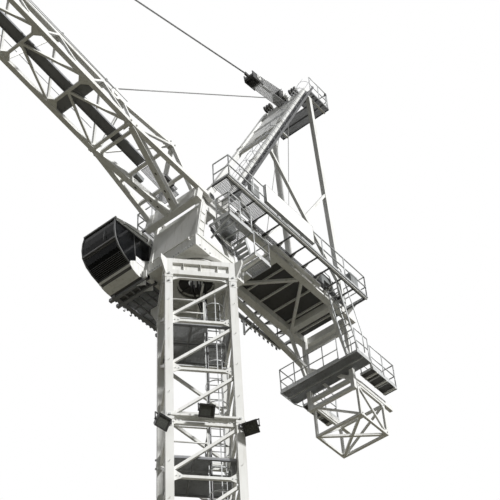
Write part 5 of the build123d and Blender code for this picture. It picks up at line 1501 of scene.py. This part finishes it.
def makeJibTrim(values):
    bm, spots = bmesh.new(), []
    for side in (1, -1):
        y = side * jibHalf
        addGussets(bm, spots, values, side)
        for at in (jibFoot, jibFoot + jibBay * 3, jibEnd):  # forked section joints with pins
            for step in (-0.13, 0.13):
                middle = onJib(at + step, chordOffset, y)
                addBar(bm, middle - jibAlong * 0.07, middle + jibAlong * 0.07, 0.205)
                for axis, radius in ((leftward, 0.04), (jibUp, 0.035)):
                    addTube(bm, [middle - axis * 0.15, middle + axis * 0.15], radius, 12)
        height = chordOffset + values["handLine"]
        addTube(bm, [onJib(at, height, y) for at in (jibFoot + 0.4, jibEnd - 0.06)], 0.013, 6, zincSteel)
        for at in values["slots"]:  # in the foot's box members: black bars as painted shade inside the slotted holes
            share = (at - 0.47) / 3.13
            middle = onJib(at, -0.4165 + 0.6665 * share - 0.142, side * (0.16 + 0.65 * share))
            addBar(bm, middle - jibAlong * 0.07, middle + jibAlong * 0.07, 0.035, 0.012, leftward, lampBlack)
        for at in values["lugs"]:
            jibBar(bm, (at, -0.5, side * 0.95), (at, 0.06, side * 0.95), 0.22, 0.02)
        jibPlate(bm, [(at, offset, side * 0.1) for at, offset in values["hump"]], 0.024)
        for at in values["humpPins"]:
            spots.append((onJib(at, 3.0, side * 0.112), leftward * side, 0.06))
    low, high = topOffset + 0.07, topOffset + 0.24
    for k in range(values["bays"]):  # rope guides on the top chord
        at = jibFoot + 1.0 + jibBay * k
        for step in (-0.11, 0.11):
            jibPlate(bm, [(at - 0.06, low, step), (at + 0.06, low, step), (at + 0.03, high, step),
                          (at - 0.03, high, step)], 0.012)
        addTube(bm, [onJib(at, topOffset + 0.17, side * 0.12) for side in (-1, 1)], 0.045, 12, machineGrey)
    # plates and lamp near the pivot
    jibBar(bm, (1.8, chordOffset - 0.05, -0.42), (2.15, chordOffset - 0.02, -0.42), 0.3, 0.2, machineGrey)
    jibBar(bm, (1.05, 0.2, 0.3), (1.5, 0.23, 0.3), 0.34, 0.16, lampBlack)
    grown = [grating(onJib(1.5, 0.19, 0.18), 1.3, 0.5, jibAlong), grating(onJib(0.9, 0.13, -0.2), 0.45, 1.1, jibAlong)]
    finishPiece(bm, "jibTrim", "jib", craneWhite, (), grown + [boltHeads(spots)])


def makeJibWalk(values):
    bm, grown = bmesh.new(), []
    half, side, start, pieces = pick(values, "walkHalf walkSide walkStart walkPieces")
    level, end = chordOffset + 0.085, jibEnd - 0.06
    length = (end - start) / pieces
    for k in range(pieces):
        at, reach = start + length * (k + 0.5), length / 2 - 0.01
        grown.append(grating(onJib(at, level, side), length - 0.01, half * 2, jibAlong))
        jibBar(bm, (at - reach, level - 0.024, side), (at + reach, level - 0.024, side), half * 2 - 0.02, 0.006)
    for y in (side - half, side + half):
        jibBar(bm, (start, level - 0.03, y), (end, level - 0.03, y), 0.03, 0.09)
    for y0, y1, at in values["landings"]:  # at the first cross strut
        y = (y0 + y1) / 2
        grown.append(grating(onJib(at, level, y), 0.46, y1 - y0, jibAlong))
        jibBar(bm, (at - 0.22, level - 0.024, y), (at + 0.22, level - 0.024, y), y1 - y0 - 0.02, 0.006)
        for y in (y0, y1):
            jibBar(bm, (at - 0.23, level - 0.03, y), (at + 0.23, level - 0.03, y), 0.02, 0.07)
    finishPiece(bm, "jibWalk", "jib", darkZincAndShade, ["jib_walkway"], grown)


makeJibTrim(jibValues)
makeJibWalk(jibValues)
print("jib dressed")

# rear: corner plates and bolts of the counterweight frame
rearValues = {"plate": 0.3, "thickness": 0.014}


def makeRearTrim(values):
    bm, spots = bmesh.new(), []
    low, high = (Vector(v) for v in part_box("counterweight_frame"))
    reach, gap = values["plate"], 0.02
    for side, y in ((-1, low.y), (1, high.y)):
        face = y - side * 0.004
        for x, inward in ((low.x, 1), (high.x, -1)):
            for z, rise in ((low.z, 1), (high.z, -1)):
                addPlate(bm, [(x + inward * a, face, z + rise * b)
                              for a, b in ((gap, gap), (reach, gap), (gap, reach))], values["thickness"])
                bolt = Vector((x + inward * 0.09, face + side * 0.006, z + rise * 0.09))
                spots.append((bolt, leftward * side, 0.045))
    finishPiece(bm, "rearTrim", "upper", craneWhite, (), [boltHeads(spots)])


makeRearTrim(rearValues)

# ropes: the luffing line and the hoist rope, each a straight tube from a point on the A-frame to a point on the jib, on
# no body
ropeValues = {"lineRadius": 0.035, "ropeRadius": 0.022, "lineStart": (-3.66, 0, 28.28),
              "hoistStart": (-4.86, 0.19, 27.56), "sheave": (4.2, 2.23, 0.19), "sheaveRadius": 0.23}


def makeRopes(values):
    sheave, hoistStart = onJib(*values["sheave"]), Vector(values["hoistStart"])
    lean = (sheave - hoistStart).normalized()
    over = Vector((-lean.z, 0, lean.x)) * values["sheaveRadius"]
    for name, start, end, radius, node in (
            ("luffingRope", Vector(values["lineStart"]), onJib(jibEnd + 0.42, topOffset - 0.04), values["lineRadius"],
             "luffing_line"),
            ("hoistLine", hoistStart, sheave + over, values["ropeRadius"], "hoist_rope")):
        bm = bmesh.new()
        addTube(bm, [start, end], radius, 10, layPitch=radius * 14)
        rope = finishPiece(bm, name, None, wireRope, [node])
        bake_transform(rope)


makeRopes(ropeValues)
print("ropes strung")
